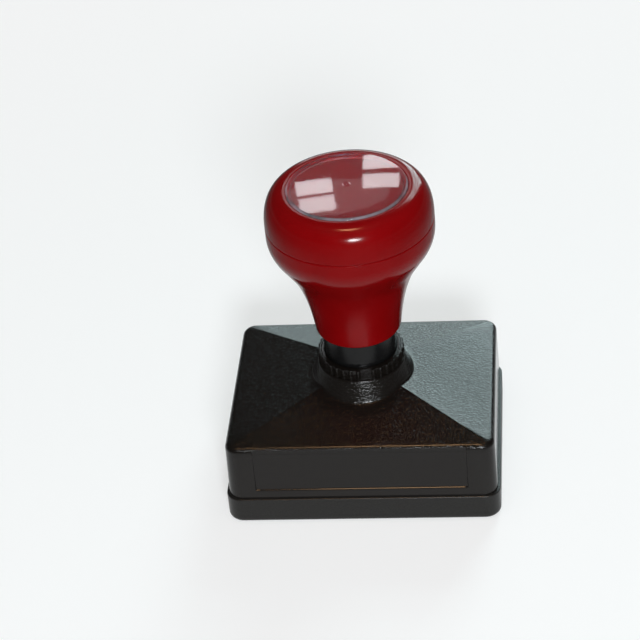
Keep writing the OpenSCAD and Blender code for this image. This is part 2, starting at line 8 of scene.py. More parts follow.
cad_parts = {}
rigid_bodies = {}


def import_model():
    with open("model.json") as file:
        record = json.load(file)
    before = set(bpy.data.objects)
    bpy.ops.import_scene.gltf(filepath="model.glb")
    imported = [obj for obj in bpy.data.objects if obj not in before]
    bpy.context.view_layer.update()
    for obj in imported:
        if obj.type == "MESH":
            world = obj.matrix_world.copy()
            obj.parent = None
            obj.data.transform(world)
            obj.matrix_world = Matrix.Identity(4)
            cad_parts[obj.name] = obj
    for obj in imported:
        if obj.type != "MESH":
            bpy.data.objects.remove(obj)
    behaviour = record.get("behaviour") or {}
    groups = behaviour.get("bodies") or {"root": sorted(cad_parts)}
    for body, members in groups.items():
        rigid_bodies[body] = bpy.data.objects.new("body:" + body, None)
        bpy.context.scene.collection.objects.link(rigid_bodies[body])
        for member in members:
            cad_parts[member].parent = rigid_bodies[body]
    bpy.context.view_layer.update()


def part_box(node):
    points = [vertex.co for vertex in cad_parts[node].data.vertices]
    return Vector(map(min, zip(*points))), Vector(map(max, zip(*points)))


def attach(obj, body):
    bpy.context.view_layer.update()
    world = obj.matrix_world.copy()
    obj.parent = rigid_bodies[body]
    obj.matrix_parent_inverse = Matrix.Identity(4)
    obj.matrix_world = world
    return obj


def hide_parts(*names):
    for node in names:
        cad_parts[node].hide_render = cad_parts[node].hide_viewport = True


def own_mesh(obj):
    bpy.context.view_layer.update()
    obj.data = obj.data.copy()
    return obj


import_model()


# Housing. A thin shell moulded in black plastic: leaning walls, rounded eaves and a hipped roof that
# runs up to a round boss for the depth ring. The mould's roof and boss are spark-eroded to a fine
# grain, the walls are plainer, and the front wall has a shallow panel for a label.
def levels(node):
    """The lowest and the highest level of a node of the frame."""
    return [corner.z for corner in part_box(node)]


mm = 0.001
rim_z, boss_top_z = levels("housing")
lap_z = levels("dust_cap")[1]
eave_half_w, eave_half_d, corner_r = 35.0 * mm, 27.6 * mm, 3.6 * mm
eave_z, eave_r, apex_z, wall_draft = 23.6 * mm, 1.6 * mm, 31.1 * mm, 0.4 * mm
eave_slope = atan((apex_z - eave_z) / eave_half_d)
eave_turn_z = eave_z - eave_r * tan(pi / 4 - eave_slope / 2)
label_half_w, label_sill_z, label_depth, label_edge = 27.7 * mm, 10.4 * mm, 0.35 * mm, 0.12 * mm
skirt, skirt_edge = (34.65 * mm, 27.25 * mm, 2.85 * mm), 0.25 * mm
lap_inset, lap_edge, lap_bevel = 0.3 * mm, 0.14 * mm, 0.04 * mm
cavity, cavity_top_z = (32.8 * mm, 25.4 * mm, 1.4 * mm), 21.5 * mm
ceiling_r, ceiling_z = 1.0 * mm, 28.1 * mm
boss_r, boss_lean, boss_fillet, boss_edge = 11.4 * mm, 0.4174, 0.5 * mm, 0.3 * mm
boss_bore_r, boss_bore_z, bore_edge = 10.45 * mm, 28.6 * mm, 0.15 * mm
tube_hole_r = 9.6 * mm
flange_seat_r, flange_seat_z = 14.1 * mm, 25.0 * mm
screw_count, screw_circle_r = 4, 12.225 * mm
screw_hole_r, screw_hole_top_z = 1.1 * mm, 28.1 * mm

# Places along the long and the short walls where the shell has a column of faces
label_columns = [label_half_w * k / 24 for k in range(-23, 24)]
edge_columns = [side * (label_half_w + label_edge * k / 2) for side in (-1, 1) for k in range(-2, 3)]
end_columns = [side * x * mm for side in (-1, 1) for x in (29.0, 30.3)]
shell_columns = sorted(label_columns + edge_columns + end_columns)
shell_rows = [22.9 * mm * k / 20 for k in range(-20, 21)]


def spun(r, a, z):
    """The point at a radius, an angle and a level."""
    return Vector((r * cos(a), r * sin(a), z))


def rounded_loop(size, z, out=0.0, columns=(), rows=(), corner_steps=10):
    """Points round a rounded rectangle (half width, half depth and corner radius) that is grown outwards,
    anticlockwise from the front left, the same count for any size."""
    half_w, half_d, r = (length + out for length in size)
    turns = [radians(90 * k / corner_steps) for k in range(corner_steps + 1)]

    def corner(side_x, side_y, start):
        middle = Vector((side_x * (half_w - r), side_y * (half_d - r), z))
        return [middle + spun(r, start + a, 0) for a in turns]

    loop = [Vector((x, -half_d, z)) for x in columns] + corner(1, -1, -pi / 2)
    loop += [Vector((half_w, y, z)) for y in rows] + corner(1, 1, 0)
    loop += [Vector((-x, half_d, z)) for x in columns] + corner(-1, 1, pi / 2)
    loop += [Vector((-half_w, -y, z)) for y in rows] + corner(-1, -1, pi)
    return loop


def shell_loop(size, z, out=0.0):
    return rounded_loop(size, z, out, shell_columns, shell_rows)


def smoothstep(t):
    t = min(max(t, 0.0), 1.0)
    return t * t * (3 - 2 * t)


def bend(a, b, c, steps=5):
    """Points of a smooth bend from a to c that is drawn towards the corner b."""
    ts = [k / steps for k in range(steps + 1)]
    return [(1 - t) * (1 - t) * a + 2 * t * (1 - t) * b + t * t * c for t in ts]


def bent_loops(first, corners, last):
    """Loops of a smooth bend from one loop to another."""
    return list(zip(*(bend(a, b, c) for a, b, c in zip(first, corners, last))))


def loops_between(first, last, shares):
    """Loops at shares of the straight way from one loop to another."""
    return [[p.lerp(q, t) for p, q in zip(first, last)] for t in shares]


def clean(mesh, sharp_degrees=38):
    """Merges doubled points, drops loose edges, turns faces outwards and smooths all but the sharp edges."""
    work = bmesh.new()
    work.from_mesh(mesh)
    bmesh.ops.remove_doubles(work, verts=work.verts, dist=1e-7)
    bmesh.ops.dissolve_degenerate(work, edges=work.edges, dist=1e-8)
    loose = [edge for edge in work.edges if not edge.link_faces]
    bmesh.ops.delete(work, geom=loose, context="EDGES")
    bmesh.ops.recalc_face_normals(work, faces=work.faces)
    work.to_mesh(mesh)
    work.free()
    mesh.shade_smooth()
    mesh.set_sharp_from_angle(angle=radians(sharp_degrees))


def placed(name, mesh):
    piece = bpy.data.objects.new(name, mesh)
    bpy.context.scene.collection.objects.link(piece)
    return piece


def lofted(name, loops, sharp_degrees=38, ends="joined"):
    """A closed piece skinned over loops of equal counts. Its last loop joins the first, or both ends are
    filled."""
    count = len(loops[0])
    faces = []
    for i in range(len(loops) if ends == "joined" else len(loops) - 1):
        a, b = i * count, (i + 1) % len(loops) * count
        faces += [(a + k, a + (k + 1) % count, b + (k + 1) % count, b + k) for k in range(count)]
    if ends == "filled":
        faces += [range(count), range((len(loops) - 1) * count, len(loops) * count)]
    mesh = bpy.data.meshes.new(name)
    mesh.from_pydata([p for loop in loops for p in loop], [], [list(face) for face in faces])
    clean(mesh, sharp_degrees)
    return placed(name, mesh)


def baked(piece):
    """Turns a piece's modifiers into its plain mesh."""
    graph = bpy.context.evaluated_depsgraph_get()
    made = bpy.data.meshes.new_from_object(piece.evaluated_get(graph))
    piece.modifiers.clear()
    piece.data = made
    clean(made)


def worked(piece, other, operation):
    """Cuts another solid out of a piece, or welds it on, and leaves a plain mesh."""
    change = piece.modifiers.new("change", "BOOLEAN")
    change.object, change.operation, change.solver = other, operation, "EXACT"
    baked(piece)
    bpy.data.objects.remove(other)


def drill(piece, low, high):
    """Cuts the four upright screw holes out of a piece between two levels."""
    bits = bmesh.new()
    for k in range(screw_count):
        place = spun(screw_circle_r, 2 * pi * (k + 0.5) / screw_count, (low + high) / 2)
        bmesh.ops.create_cone(
            bits, cap_ends=True, segments=24, radius1=screw_hole_r, radius2=screw_hole_r, depth=high - low,
            matrix=Matrix.Translation(place))
    mesh = bpy.data.meshes.new("bits")
    bits.to_mesh(mesh)
    bits.free()
    worked(piece, placed("bits", mesh), "DIFFERENCE")


def with_label_panel(loop):
    """The loop with the front wall sunk inside the label panel, whose edges are rounded over."""
    sunk = []
    for p in loop:
        across = smoothstep((label_half_w + label_edge - abs(p.x)) / (2 * label_edge))
        upward = smoothstep((p.z - label_sill_z + label_edge) / (2 * label_edge))
        face_y = -eave_half_d - wall_draft * (eave_z - p.z) / (eave_z - rim_z)
        if p.y < 0 and across * upward > 0:
            p = Vector((p.x, max(p.y, face_y + label_depth * across * upward), p.z))
        sunk.append(p)
    return sunk


def wall_loop(z, back_off=0.0):
    """A loop of the leaning wall, which stands out of the eaves' upright the more the lower it is."""
    lean = wall_draft * (eave_turn_z - z) / (eave_turn_z - rim_z)
    return shell_loop((eave_half_w + lean, eave_half_d + lean, corner_r), z, -back_off)


def eave_loop(angle):
    eave = (eave_half_w, eave_half_d, corner_r)
    return shell_loop(eave, eave_turn_z + eave_r * sin(angle), eave_r * (cos(angle) - 1))


shell = [shell_loop(size, z, out) for size, z, out in (
    (cavity, rim_z + skirt_edge, 0), (cavity, rim_z, skirt_edge), (skirt, rim_z, -skirt_edge),
    (skirt, rim_z + skirt_edge, 0), (skirt, lap_z, 0))]
shell += [wall_loop(lap_z + rise, back_off) for rise, back_off in (
    (0, lap_inset), (0, lap_edge), (lap_bevel, lap_bevel), (lap_edge, 0), (lap_inset, 0))]
sill_rows = [label_sill_z + label_edge * k / 2 for k in range(-2, 3)]
wall_rows = [9.4 * mm, *sill_rows, 11.0 * mm, 16.0 * mm, eave_turn_z - 0.2 * mm]
shell += [with_label_panel(wall_loop(z)) for z in wall_rows]
shell += [with_label_panel(eave_loop((pi / 2 - eave_slope) * k / 12)) for k in range(13)]

# The roof's four planes run straight from the eaves towards one point, meet in crisp hips and end at the boss
eave_top = shell[-1]
roof_half_w, roof_half_d = max(p.x for p in eave_top), max(p.y for p in eave_top)
roof_rise = apex_z - eave_top[0].z


def level(p):
    return Vector((p.x, p.y, 0))


def roof_circle(r, z):
    """A round loop whose points lie in the same directions from the axis as the eaves'."""
    return [level(p).normalized() * r + Vector((0, 0, z)) for p in eave_top]


def roof_point(way, reach):
    """The roof's place in a level direction from the axis at a reach, and the roof's fall that way."""
    fall = roof_rise * max(abs(way.x) / roof_half_w, abs(way.y) / roof_half_d)
    return way * reach + Vector((0, 0, apex_z - fall * reach)), fall


def on_hip(p):
    across, along = abs(p.x) / roof_half_w, abs(p.y) / roof_half_d
    return abs(across - along) < 1e-4 and abs(p.z - apex_z + roof_rise * across) < 1e-6


roof_ways = [level(p).normalized() for p in eave_top]
for side_x, side_y in ((1, 1), (-1, 1), (-1, -1), (1, -1)):
    hip = Vector((side_x * roof_half_w, side_y * roof_half_d, 0)).normalized()
    nearest = min(range(len(roof_ways)), key=lambda i: (roof_ways[i] - hip).length)
    roof_ways[nearest] = hip
eaves, foot, roof_side, boss_side = [], [], [], []
for p, way in zip(eave_top, roof_ways):
    eave_end, fall = roof_point(way, level(p).length)
    at_foot = roof_point(way, (boss_r + boss_lean * (boss_top_z - apex_z)) / (1 - boss_lean * fall))[0]
    boss_way = (Vector((0, 0, 1)) - way * boss_lean).normalized()
    eaves.append(eave_end)
    foot.append(at_foot)
    roof_side.append(at_foot + (eave_end - at_foot).normalized() * boss_fillet)
    boss_side.append(at_foot + boss_way * boss_fillet)
boss_lip = roof_circle(boss_r + boss_lean * boss_edge, boss_top_z - boss_edge)
boss_corner, boss_flat = roof_circle(boss_r, boss_top_z), roof_circle(boss_r - boss_edge, boss_top_z)
shell += loops_between(eaves, roof_side, (0.02, 0.35, 0.7, 0.96))
shell += bent_loops(roof_side, foot, boss_side)
shell += loops_between(boss_side, boss_lip, (0.1, 0.5, 0.92, 1.0))
shell += bent_loops(boss_lip, boss_corner, boss_flat)[1:]
shell += [roof_circle(r, z) for r, z in (
    (boss_bore_r + bore_edge, boss_top_z), (boss_bore_r, boss_top_z - bore_edge),
    (boss_bore_r, boss_bore_z), (tube_hole_r, boss_bore_z),
    (tube_hole_r, flange_seat_z), (flange_seat_r, flange_seat_z))]
cavity_top = shell_loop(cavity, cavity_top_z)
ceiling = []
for p, q in zip(cavity_top, shell[-1]):
    reach = level(p).length
    rise = (reach - flange_seat_r) / (reach - ceiling_r) * (ceiling_z - cavity_top_z)
    ceiling.append(Vector((q.x, q.y, cavity_top_z + rise)))
shell += [ceiling, cavity_top]

housing = lofted("housing_shell", shell)
drill(housing, flange_seat_z - mm, screw_hole_top_z)
for edge_line in housing.data.edges:
    if all(on_hip(housing.data.vertices[i].co) for i in edge_line.vertices):
        edge_line.use_edge_sharp = True


class Nodes:
    """A tree of nodes under the making."""

    def __init__(self, tree):
        self.tree = tree

    def sockets(self, in_out, kinds):
        """Gives a group named inputs or outputs, and gives back their identifiers by name."""
        socket = self.tree.interface.new_socket
        return {
            label: socket(label, in_out=in_out, socket_type="NodeSocket" + kind).identifier
            for label, kind in kinds.items()}

    def feed(self, slot, term):
        """Links a node's output to an input slot, or sets the slot to a plain value."""
        if isinstance(term, bpy.types.NodeSocket):
            self.tree.links.new(term, slot)
        else:
            slot.default_value = term

    def add(self, kind, settings=None, **terms):
        """A node with its settings, and each named input linked or set."""
        node = self.tree.nodes.new(kind)
        for name, value in (settings or {}).items():
            setattr(node, name, value)
        for name, term in terms.items():
            self.feed(node.inputs[name.replace("_", " ")], term)
        return node

    def math(self, operation, *terms):
        """The result of a Math node whose terms are outputs or numbers."""
        node = self.add("ShaderNodeMath", {"operation": operation})
        for slot, term in zip(node.inputs, terms):
            self.feed(slot, term)
        return node.outputs[0]

    def spread(self, value, low, high, to_low=0.0, to_high=1.0):
        """A value mapped from one range to another and held there."""
        return self.add(
            "ShaderNodeMapRange", Value=value, From_Min=low, From_Max=high, To_Min=to_low,
            To_Max=to_high).outputs[0]

    def noise(self, place, scale, detail, **terms):
        """A cloudy value of 0 to 1."""
        cloud = self.add("ShaderNodeTexNoise", Vector=place, Scale=scale, Detail=detail, **terms)
        return cloud.outputs["Fac"]


class Effect(Nodes):
    """A shader group that reads a place and some values and puts out one value."""

    def __init__(self, name, inputs, output):
        super().__init__(bpy.data.node_groups.new(name, "ShaderNodeTree"))
        self.sockets("INPUT", {"Place": "Vector", **{label: "Float" for label in inputs}})
        self.sockets("OUTPUT", {output: "Float"})
        self.value = self.add("NodeGroupInput").outputs
        self.place = self.value["Place"]

    def end(self, result):
        self.feed(self.add("NodeGroupOutput").inputs[0], result)
        return self


def spark_grain_effect():
    """Fine grain of a spark-eroded mould: an uneven height from about 0 to 1 at a grain size in metres."""
    group = Effect("spark_grain", ("Grain",), "Height")
    scale = group.math("DIVIDE", 1.0, group.value["Grain"])
    pits = group.add(
        "ShaderNodeTexVoronoi", {"feature": "SMOOTH_F1"}, Vector=group.place, Scale=scale, Smoothness=0.6)
    cloud = group.noise(group.place, scale, 3.0, Roughness=0.65)
    return group.end(group.math("MULTIPLY_ADD", pits.outputs["Distance"], 0.55, cloud))


def handling_effect():
    """Faint smears and dust that handling leaves: a value about 0 that drifts over some millimetres."""
    group = Effect("handling", ("Reach",), "Smear")
    scale = group.math("DIVIDE", 1.0, group.value["Reach"])
    cloud = group.noise(group.place, scale, 5.0, Roughness=0.6, Distortion=0.8)
    return group.end(group.math("SUBTRACT", cloud, 0.5))


def edge_rub_effect():
    """Wear on a level edge: 1 where the edge is rubbed, fading within a reach above and below its level."""
    group = Effect("edge_rub", ("Level", "Reach"), "Rub")
    height = group.add("ShaderNodeSeparateXYZ", Vector=group.place).outputs["Z"]
    off = group.math("ABSOLUTE", group.math("SUBTRACT", height, group.value["Level"]))
    near = group.spread(off, 0.0, group.value["Reach"], 1.0, 0.0)
    patchy = group.spread(group.noise(group.place, 1 / (1.6 * mm), 4.0), 0.38, 0.66)
    return group.end(group.math("MULTIPLY", near, patchy))


spark_grain, handling, edge_rub = spark_grain_effect(), handling_effect(), edge_rub_effect()


class Finish(Nodes):
    """A material under the making. Its slot name, its own name unless another is given, is kept but not used.
    """

    def __init__(self, name, colour, roughness, slot=None, **sockets):
        self.material = bpy.data.materials.new(name)
        self.material.use_nodes = True
        super().__init__(self.material.node_tree)
        self.slot, self.roughness = slot or name, roughness
        self.shader = self.tree.nodes["Principled BSDF"]
        self.place = self.add("ShaderNodeTexCoord").outputs["Object"]
        for label, value in {"Base_Color": (*colour, 1), "Roughness": roughness, **sockets}.items():
            self.drive(label.replace("_", " "), value)

    def drive(self, label, value):
        """Sets one of the shader's inputs, or lets an output set it."""
        self.feed(self.shader.inputs[label], value)

    def effect(self, group, **values):
        """A shared effect on the piece's own coordinates."""
        return self.add("ShaderNodeGroup", {"node_tree": group.tree}, Place=self.place, **values).outputs[0]

    def axes(self):
        """The place's three coordinates."""
        return self.add("ShaderNodeSeparateXYZ", Vector=self.place).outputs

    def clouds(self, size, stretch=(1, 1, 1)):
        """A cloudy value of 0 to 1 at a size in metres, drawn out where its stretch is under 1."""
        way = self.add("ShaderNodeMapping", Vector=self.place, Scale=stretch)
        return self.noise(way.outputs[0], 1 / size, 2.0)

    def smeared(self, amount, reach, base=None):
        """Roughness that drifts by an amount about the finish's own, or about a base. Gives the smear."""
        smear = self.effect(handling, Reach=reach)
        base = self.roughness if base is None else base
        self.drive("Roughness", self.math("MULTIPLY_ADD", smear, amount, base))
        return smear

    def tint(self, factor, colour, other, label="Base Color"):
        """A colour input between two colours by a factor."""
        mix = self.add("ShaderNodeMix", {"data_type": "RGBA"}, A=(*colour, 1), B=(*other, 1), Factor=factor)
        self.drive(label, mix.outputs["Result"])

    def bump(self, height, depth):
        """Relief of a depth in metres from a height of 0 to 1."""
        self.drive("Normal", self.add("ShaderNodeBump", Distance=depth, Height=height).outputs["Normal"])

    def grained(self, grain, depth):
        """Relief of fine grain, with its size and depth in metres."""
        self.bump(self.effect(spark_grain, Grain=grain), depth)


def dressed(piece, finish, body, node):
    """Gives a piece its finish and its body, and lets it stand for a node of the frame."""
    piece.data.materials.clear()
    piece.data.materials.append(finish.material)
    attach(piece, body)
    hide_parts(node)


grainy = Finish("black_textured", (0.007, 0.006, 0.005), 0.11, Specular_IOR_Level=0.22, Coat_Roughness=0.12)
height = grainy.axes()["Z"]
wall_share = grainy.spread(height, eave_turn_z - mm, eave_turn_z, 1.0, 0.0)
roof_share = grainy.spread(height, eave_turn_z, eave_z - 0.3 * mm, 0.04, 1.0)
boss_share = grainy.spread(height, boss_top_z - 5 * mm, boss_top_z - 4 * mm, 0.0, -0.15)
ring_share = grainy.spread(height, boss_top_z, boss_top_z + 0.1 * mm, 0.0, -0.5)
grain_share = grainy.math("ADD", grainy.math("ADD", roof_share, boss_share), ring_share)
roof_grain = grainy.effect(spark_grain, Grain=0.5 * mm)
steep_grain = grainy.math("POWER", roof_grain, 3.0)
eave_rub = grainy.effect(edge_rub, Level=eave_z - 0.5 * mm, Reach=0.9 * mm)
pale_share = grainy.math("MAXIMUM", wall_share, grainy.math("MULTIPLY", eave_rub, 0.5))
grain_shine = grainy.spread(roof_grain, 0.4, 1.0, -0.27, 0.27)
plain_shine = grainy.math("MULTIPLY_ADD", wall_share, -0.11, 0.14)
grainy.drive("Coat Weight", grainy.math("MULTIPLY_ADD", grain_shine, roof_share, plain_shine))
grainy.tint(pale_share, (0.0066, 0.0052, 0.0042), (0.0125, 0.0108, 0.0098))
grainy.bump(grainy.math("MULTIPLY", steep_grain, grain_share), 0.07 * mm)
grainy.smeared(0.06, 9 * mm)
dressed(housing, grainy, "frame", "housing")


# Guide tube. A smooth black moulded tube with a flange at its foot, which four screws pull up against
# the housing's seat. It stands out of the ring and carries the handle, and its floor holds the bush.
tube_foot_z, tube_top_z = levels("guide_tube")
tube_flange_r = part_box("guide_tube")[1].x
tube_r, tube_bore_r, tube_floor_z, bush_hole_r = 9.5 * mm, 7.6 * mm, 26.0 * mm, 4.2 * mm


def filleted(rows, steps=5):
    """An outline with a smooth bend at each corner. A row is a point (radius, level and fillet) or an
    upright wall (radius, two levels and their fillets). Fillets are in millimetres."""
    corners = []
    for r, *rest in rows:
        half = len(rest) // 2
        corners += [(Vector((r, z)), fillet * mm) for z, fillet in zip(rest[:half], rest[half:])]
    outline = []
    for i, (here, fillet) in enumerate(corners):
        sides = [corners[k % len(corners)][0] - here for k in (i - 1, i + 1)]
        before, after = (here + side.normalized() * min(fillet, side.length * 0.45) for side in sides)
        outline += bend(before, here, after, steps) if fillet else [here]
    return outline


def turned(name, outline, steps=128, sharp_degrees=38):
    """A closed piece turned about the axis from an outline of radii and levels."""
    angles = [2 * pi * k / steps for k in range(steps)]
    return lofted(name, [[spun(p.x, a, p.y) for a in angles] for p in outline], sharp_degrees)


guide_tube = turned("guide_tube_body", filleted([
    (bush_hole_r, tube_floor_z, tube_foot_z, 0.2, 0.2),
    (tube_flange_r, tube_foot_z, flange_seat_z, 0.3, 0.3),
    (tube_r, flange_seat_z, tube_top_z, 0.4, 0.5),
    (tube_bore_r, tube_top_z, tube_floor_z, 0.3, 0.5),
]))
drill(guide_tube, tube_foot_z - mm, flange_seat_z + 0.5 * mm)
black_smooth = Finish("black_smooth", (0.005, 0.005, 0.005), 0.22, Specular_IOR_Level=0.3)
black_smooth.smeared(0.16, 6 * mm)
black_smooth.bump(black_smooth.clouds(0.5 * mm, (1, 1, 0.04)), 0.006 * mm)
dressed(guide_tube, black_smooth, "frame", "guide_tube")


# Flange screws. Four short zinc-plated screws with domed heads and a cross recess, driven up from
# inside the housing through the tube's flange.
screw_foot_z, screw_tip_z = levels("tube_screws")
screw_head_r, screw_head_h, screw_shank_r, screw_thread_turns = 1.9 * mm, 1.3 * mm, 1.0 * mm, 7
recess_half_w, recess_reach, recess_depth = 0.13, 0.55, 0.36


def threaded(r, low, high, depth, turns):
    """Outline rows of a run of thread with so many crests, from its lower end up."""
    pitch = (high - low) / turns
    run = [(r - depth, low, 0)]
    for k in range(turns):
        run += [(r, low + (k + 0.5) * pitch, 0), (r - depth, low + (k + 1) * pitch, 0)]
    return run


def block(half_w, half_d, low, high):
    """A plain upright block about the axis, to cut with."""
    plan = ((-half_w, -half_d), (half_w, -half_d), (half_w, half_d), (-half_w, half_d))
    return lofted("block", [[Vector((x, y, z)) for x, y in plan] for z in (low, high)], ends="filled")


def cross_head_screw(name, foot_z, tip_z, head_r, head_h, shank_r, thread_turns):
    """A screw that points up: a domed head with a cross recess below it, and a threaded shank."""
    neck_z, thread_depth = foot_z + head_h, 0.15 * shank_r
    screw = turned(name, filleted([
        (0, tip_z, foot_z, 0, 0),
        (head_r, foot_z, neck_z, 0.4 * head_r / mm, 0.08 * head_r / mm),
        (shank_r - thread_depth, neck_z, 0),
        *threaded(shank_r, neck_z + thread_depth, tip_z - 0.5 * shank_r, thread_depth, thread_turns),
        (0.3 * shank_r, tip_z, 0),
    ]), 40)
    for x, y in ((recess_reach, recess_half_w), (recess_half_w, recess_reach)):
        slot = block(x * head_r, y * head_r, foot_z - mm, foot_z + recess_depth * head_r)
        worked(screw, slot, "DIFFERENCE")
    return screw


class Pattern(Nodes):
    """A geometry tree with named inputs, which is run on a piece and leaves its plain mesh."""

    def __init__(self, name, **inputs):
        super().__init__(bpy.data.node_groups.new(name, "GeometryNodeTree"))
        self.sockets("OUTPUT", {"Geometry": "Geometry"})
        self.ids = self.sockets("INPUT", {"Geometry": "Geometry", **inputs, "Material": "Material"})
        self.value = self.add("NodeGroupInput").outputs

    def end(self, geometry):
        """Ends the tree in real copies with the material on."""
        real = self.add("GeometryNodeRealizeInstances", Geometry=geometry).outputs[0]
        painted = self.add("GeometryNodeSetMaterial", Geometry=real, Material=self.value["Material"])
        self.add("NodeGroupOutput", Geometry=painted.outputs[0])
        return self

    def end_in_copies(self, points):
        """Ends the tree in copies of its shape on points, joined to the piece."""
        shape = self.add("GeometryNodeObjectInfo", Object=self.value["Shape"]).outputs["Geometry"]
        copies = self.add("GeometryNodeInstanceOnPoints", Points=points, Instance=shape)
        joined = self.add("GeometryNodeJoinGeometry", Geometry=copies.outputs[0])
        self.feed(joined.inputs[0], self.value["Geometry"])
        return self.end(joined.outputs[0])

    def grow(self, piece, finish, **values):
        """Runs the tree on a piece with its inputs set. A shape to copy is used up."""
        modifier = piece.modifiers.new("pattern", "NODES")
        modifier.node_group = self.tree
        for label, value in {**values, "Material": finish.material}.items():
            modifier[self.ids[label]] = value
        baked(piece)
        if "Shape" in values:
            bpy.data.objects.remove(values["Shape"])
        return piece


def round_pattern_tree():
    """Copies on a circle at a height, turned about the axis, with the first few left out."""
    pattern = Pattern(
        "round_pattern", Shape="Object", Count="Int", Missing="Int", Radius="Float", Height="Float",
        Turn="Float")
    value = pattern.value
    circle = pattern.add("GeometryNodeMeshCircle", Vertices=value["Count"], Radius=value["Radius"])
    index = pattern.add("GeometryNodeInputIndex").outputs[0]
    thinned = pattern.add(
        "GeometryNodeDeleteGeometry", Geometry=circle.outputs[0],
        Selection=pattern.math("LESS_THAN", index, value["Missing"]))
    rise, swing = (pattern.add("ShaderNodeCombineXYZ", Z=value[name]) for name in ("Height", "Turn"))
    set_up = pattern.add(
        "GeometryNodeTransform", Geometry=thinned.outputs[0], Translation=rise.outputs[0],
        Rotation=swing.outputs[0])
    return pattern.end_in_copies(set_up.outputs[0])


def blank(name):
    """A piece with no mesh yet, for a tree to grow."""
    return placed(name, bpy.data.meshes.new(name))


steel = Finish("zinc_plated_steel", (0.62, 0.62, 0.64), 0.3, "steel", Metallic=1.0)
steel.smeared(0.3, 1.5 * mm)
steel.grained(0.25 * mm, 0.004 * mm)
round_pattern = round_pattern_tree()
flange_screw = cross_head_screw(
    "flange_screw", 0, screw_tip_z - screw_foot_z, screw_head_r, screw_head_h, screw_shank_r,
    screw_thread_turns)
tube_screws = round_pattern.grow(
    blank("flange_screws"), steel, Shape=flange_screw, Count=screw_count, Radius=screw_circle_r,
    Height=screw_foot_z, Turn=pi / screw_count)
dressed(tube_screws, steel, "frame", "tube_screws")


# Rod bush. A turned nylon bush pressed into the tube's floor: its bore guides the rod and the flange on
# top of it seats the spring.
bush_foot_z, bush_top_z = levels("rod_bush")
bush_flange_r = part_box("rod_bush")[1].x
bush_bore_r, bush_r = 3.1 * mm, 4.1 * mm
rod_bush = turned("rod_bush_body", filleted([
    (bush_bore_r, bush_top_z, bush_foot_z, 0.2, 0.2),
    (bush_r, bush_foot_z, tube_floor_z, 0.2, 0.1),
    (bush_flange_r, tube_floor_z, bush_top_z, 0.15, 0.2),
]), 64)
nylon = Finish(
    "natural_nylon", (0.72, 0.70, 0.62), 0.42, "nylon", Subsurface_Weight=0.15,
    Subsurface_Radius=(mm, 0.8 * mm, 0.6 * mm))
nylon.smeared(0.15, 3 * mm)
nylon.grained(0.3 * mm, 0.006 * mm)
dressed(rod_bush, nylon, "frame", "rod_bush")


# Return spring. Drawn steel wire coiled round the rod between the bush and the handle's web, with one
# closed turn at each end. The real spring shortens as the handle goes down; this one is built at its rest
# length.
spring_foot_z, spring_head_z = levels("return_spring")
spring_r, wire_r, spring_turns, closed_rise = 5.6 * mm, 0.5 * mm, 11.0, 1.6 * mm


def coil_tree(steps_a_turn=40, wire_sides=14):
    """A wire swept along a coil whose first and last turns lie closer."""
    names = ("Turns", "Radius", "Wire", "Foot", "Length", "Closed")
    coil = Pattern("coil", **{name: "Float" for name in names})
    turns, radius, wire, foot_z, length, closed_turn = (coil.value[name] for name in names)
    points = coil.add(
        "GeometryNodeResampleCurve", Curve=coil.add("GeometryNodeCurvePrimitiveLine").outputs[0],
        Count=coil.math("MULTIPLY_ADD", turns, steps_a_turn, 1))
    share = coil.add("GeometryNodeSplineParameter").outputs["Factor"]
    turn = coil.math("MULTIPLY", share, turns)
    angle = coil.math("MULTIPLY", turn, 2 * pi)
    open_turns = coil.math("SUBTRACT", turns, 2)
    open_rise = coil.math("MULTIPLY_ADD", closed_turn, -2, length)
    first = coil.math("MINIMUM", turn, 1)
    last = coil.math("MAXIMUM", coil.math("SUBTRACT", turn, coil.math("ADD", open_turns, 1)), 0)
    middle = coil.math("SUBTRACT", coil.math("SUBTRACT", turn, first), last)
    closed = coil.math("MULTIPLY", coil.math("ADD", first, last), closed_turn)
    rise = coil.math("MULTIPLY_ADD", coil.math("DIVIDE", middle, open_turns), open_rise, closed)
    place = coil.add(
        "ShaderNodeCombineXYZ",
        X=coil.math("MULTIPLY", coil.math("COSINE", angle), radius),
        Y=coil.math("MULTIPLY", coil.math("SINE", angle), radius),
        Z=coil.math("ADD", rise, foot_z))
    wound = coil.add("GeometryNodeSetPosition", Geometry=points.outputs[0], Position=place.outputs[0])
    section = coil.add("GeometryNodeCurvePrimitiveCircle", Resolution=wire_sides, Radius=wire)
    swept = coil.add(
        "GeometryNodeCurveToMesh", Curve=wound.outputs[0], Profile_Curve=section.outputs[0], Fill_Caps=True)
    return coil.end(swept.outputs[0])


spring_steel = Finish("drawn_wire", (0.5, 0.5, 0.52), 0.24, "spring_steel", Metallic=1.0)
spring_steel.smeared(0.2, mm)
spring_steel.grained(0.2 * mm, 0.003 * mm)
return_spring = coil_tree().grow(
    blank("return_spring_wire"), spring_steel, Turns=spring_turns, Radius=spring_r, Wire=wire_r,
    Foot=spring_foot_z + wire_r, Length=spring_head_z - spring_foot_z - 2 * wire_r, Closed=closed_rise)
dressed(return_spring, spring_steel, "frame", "return_spring")
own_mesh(return_spring)


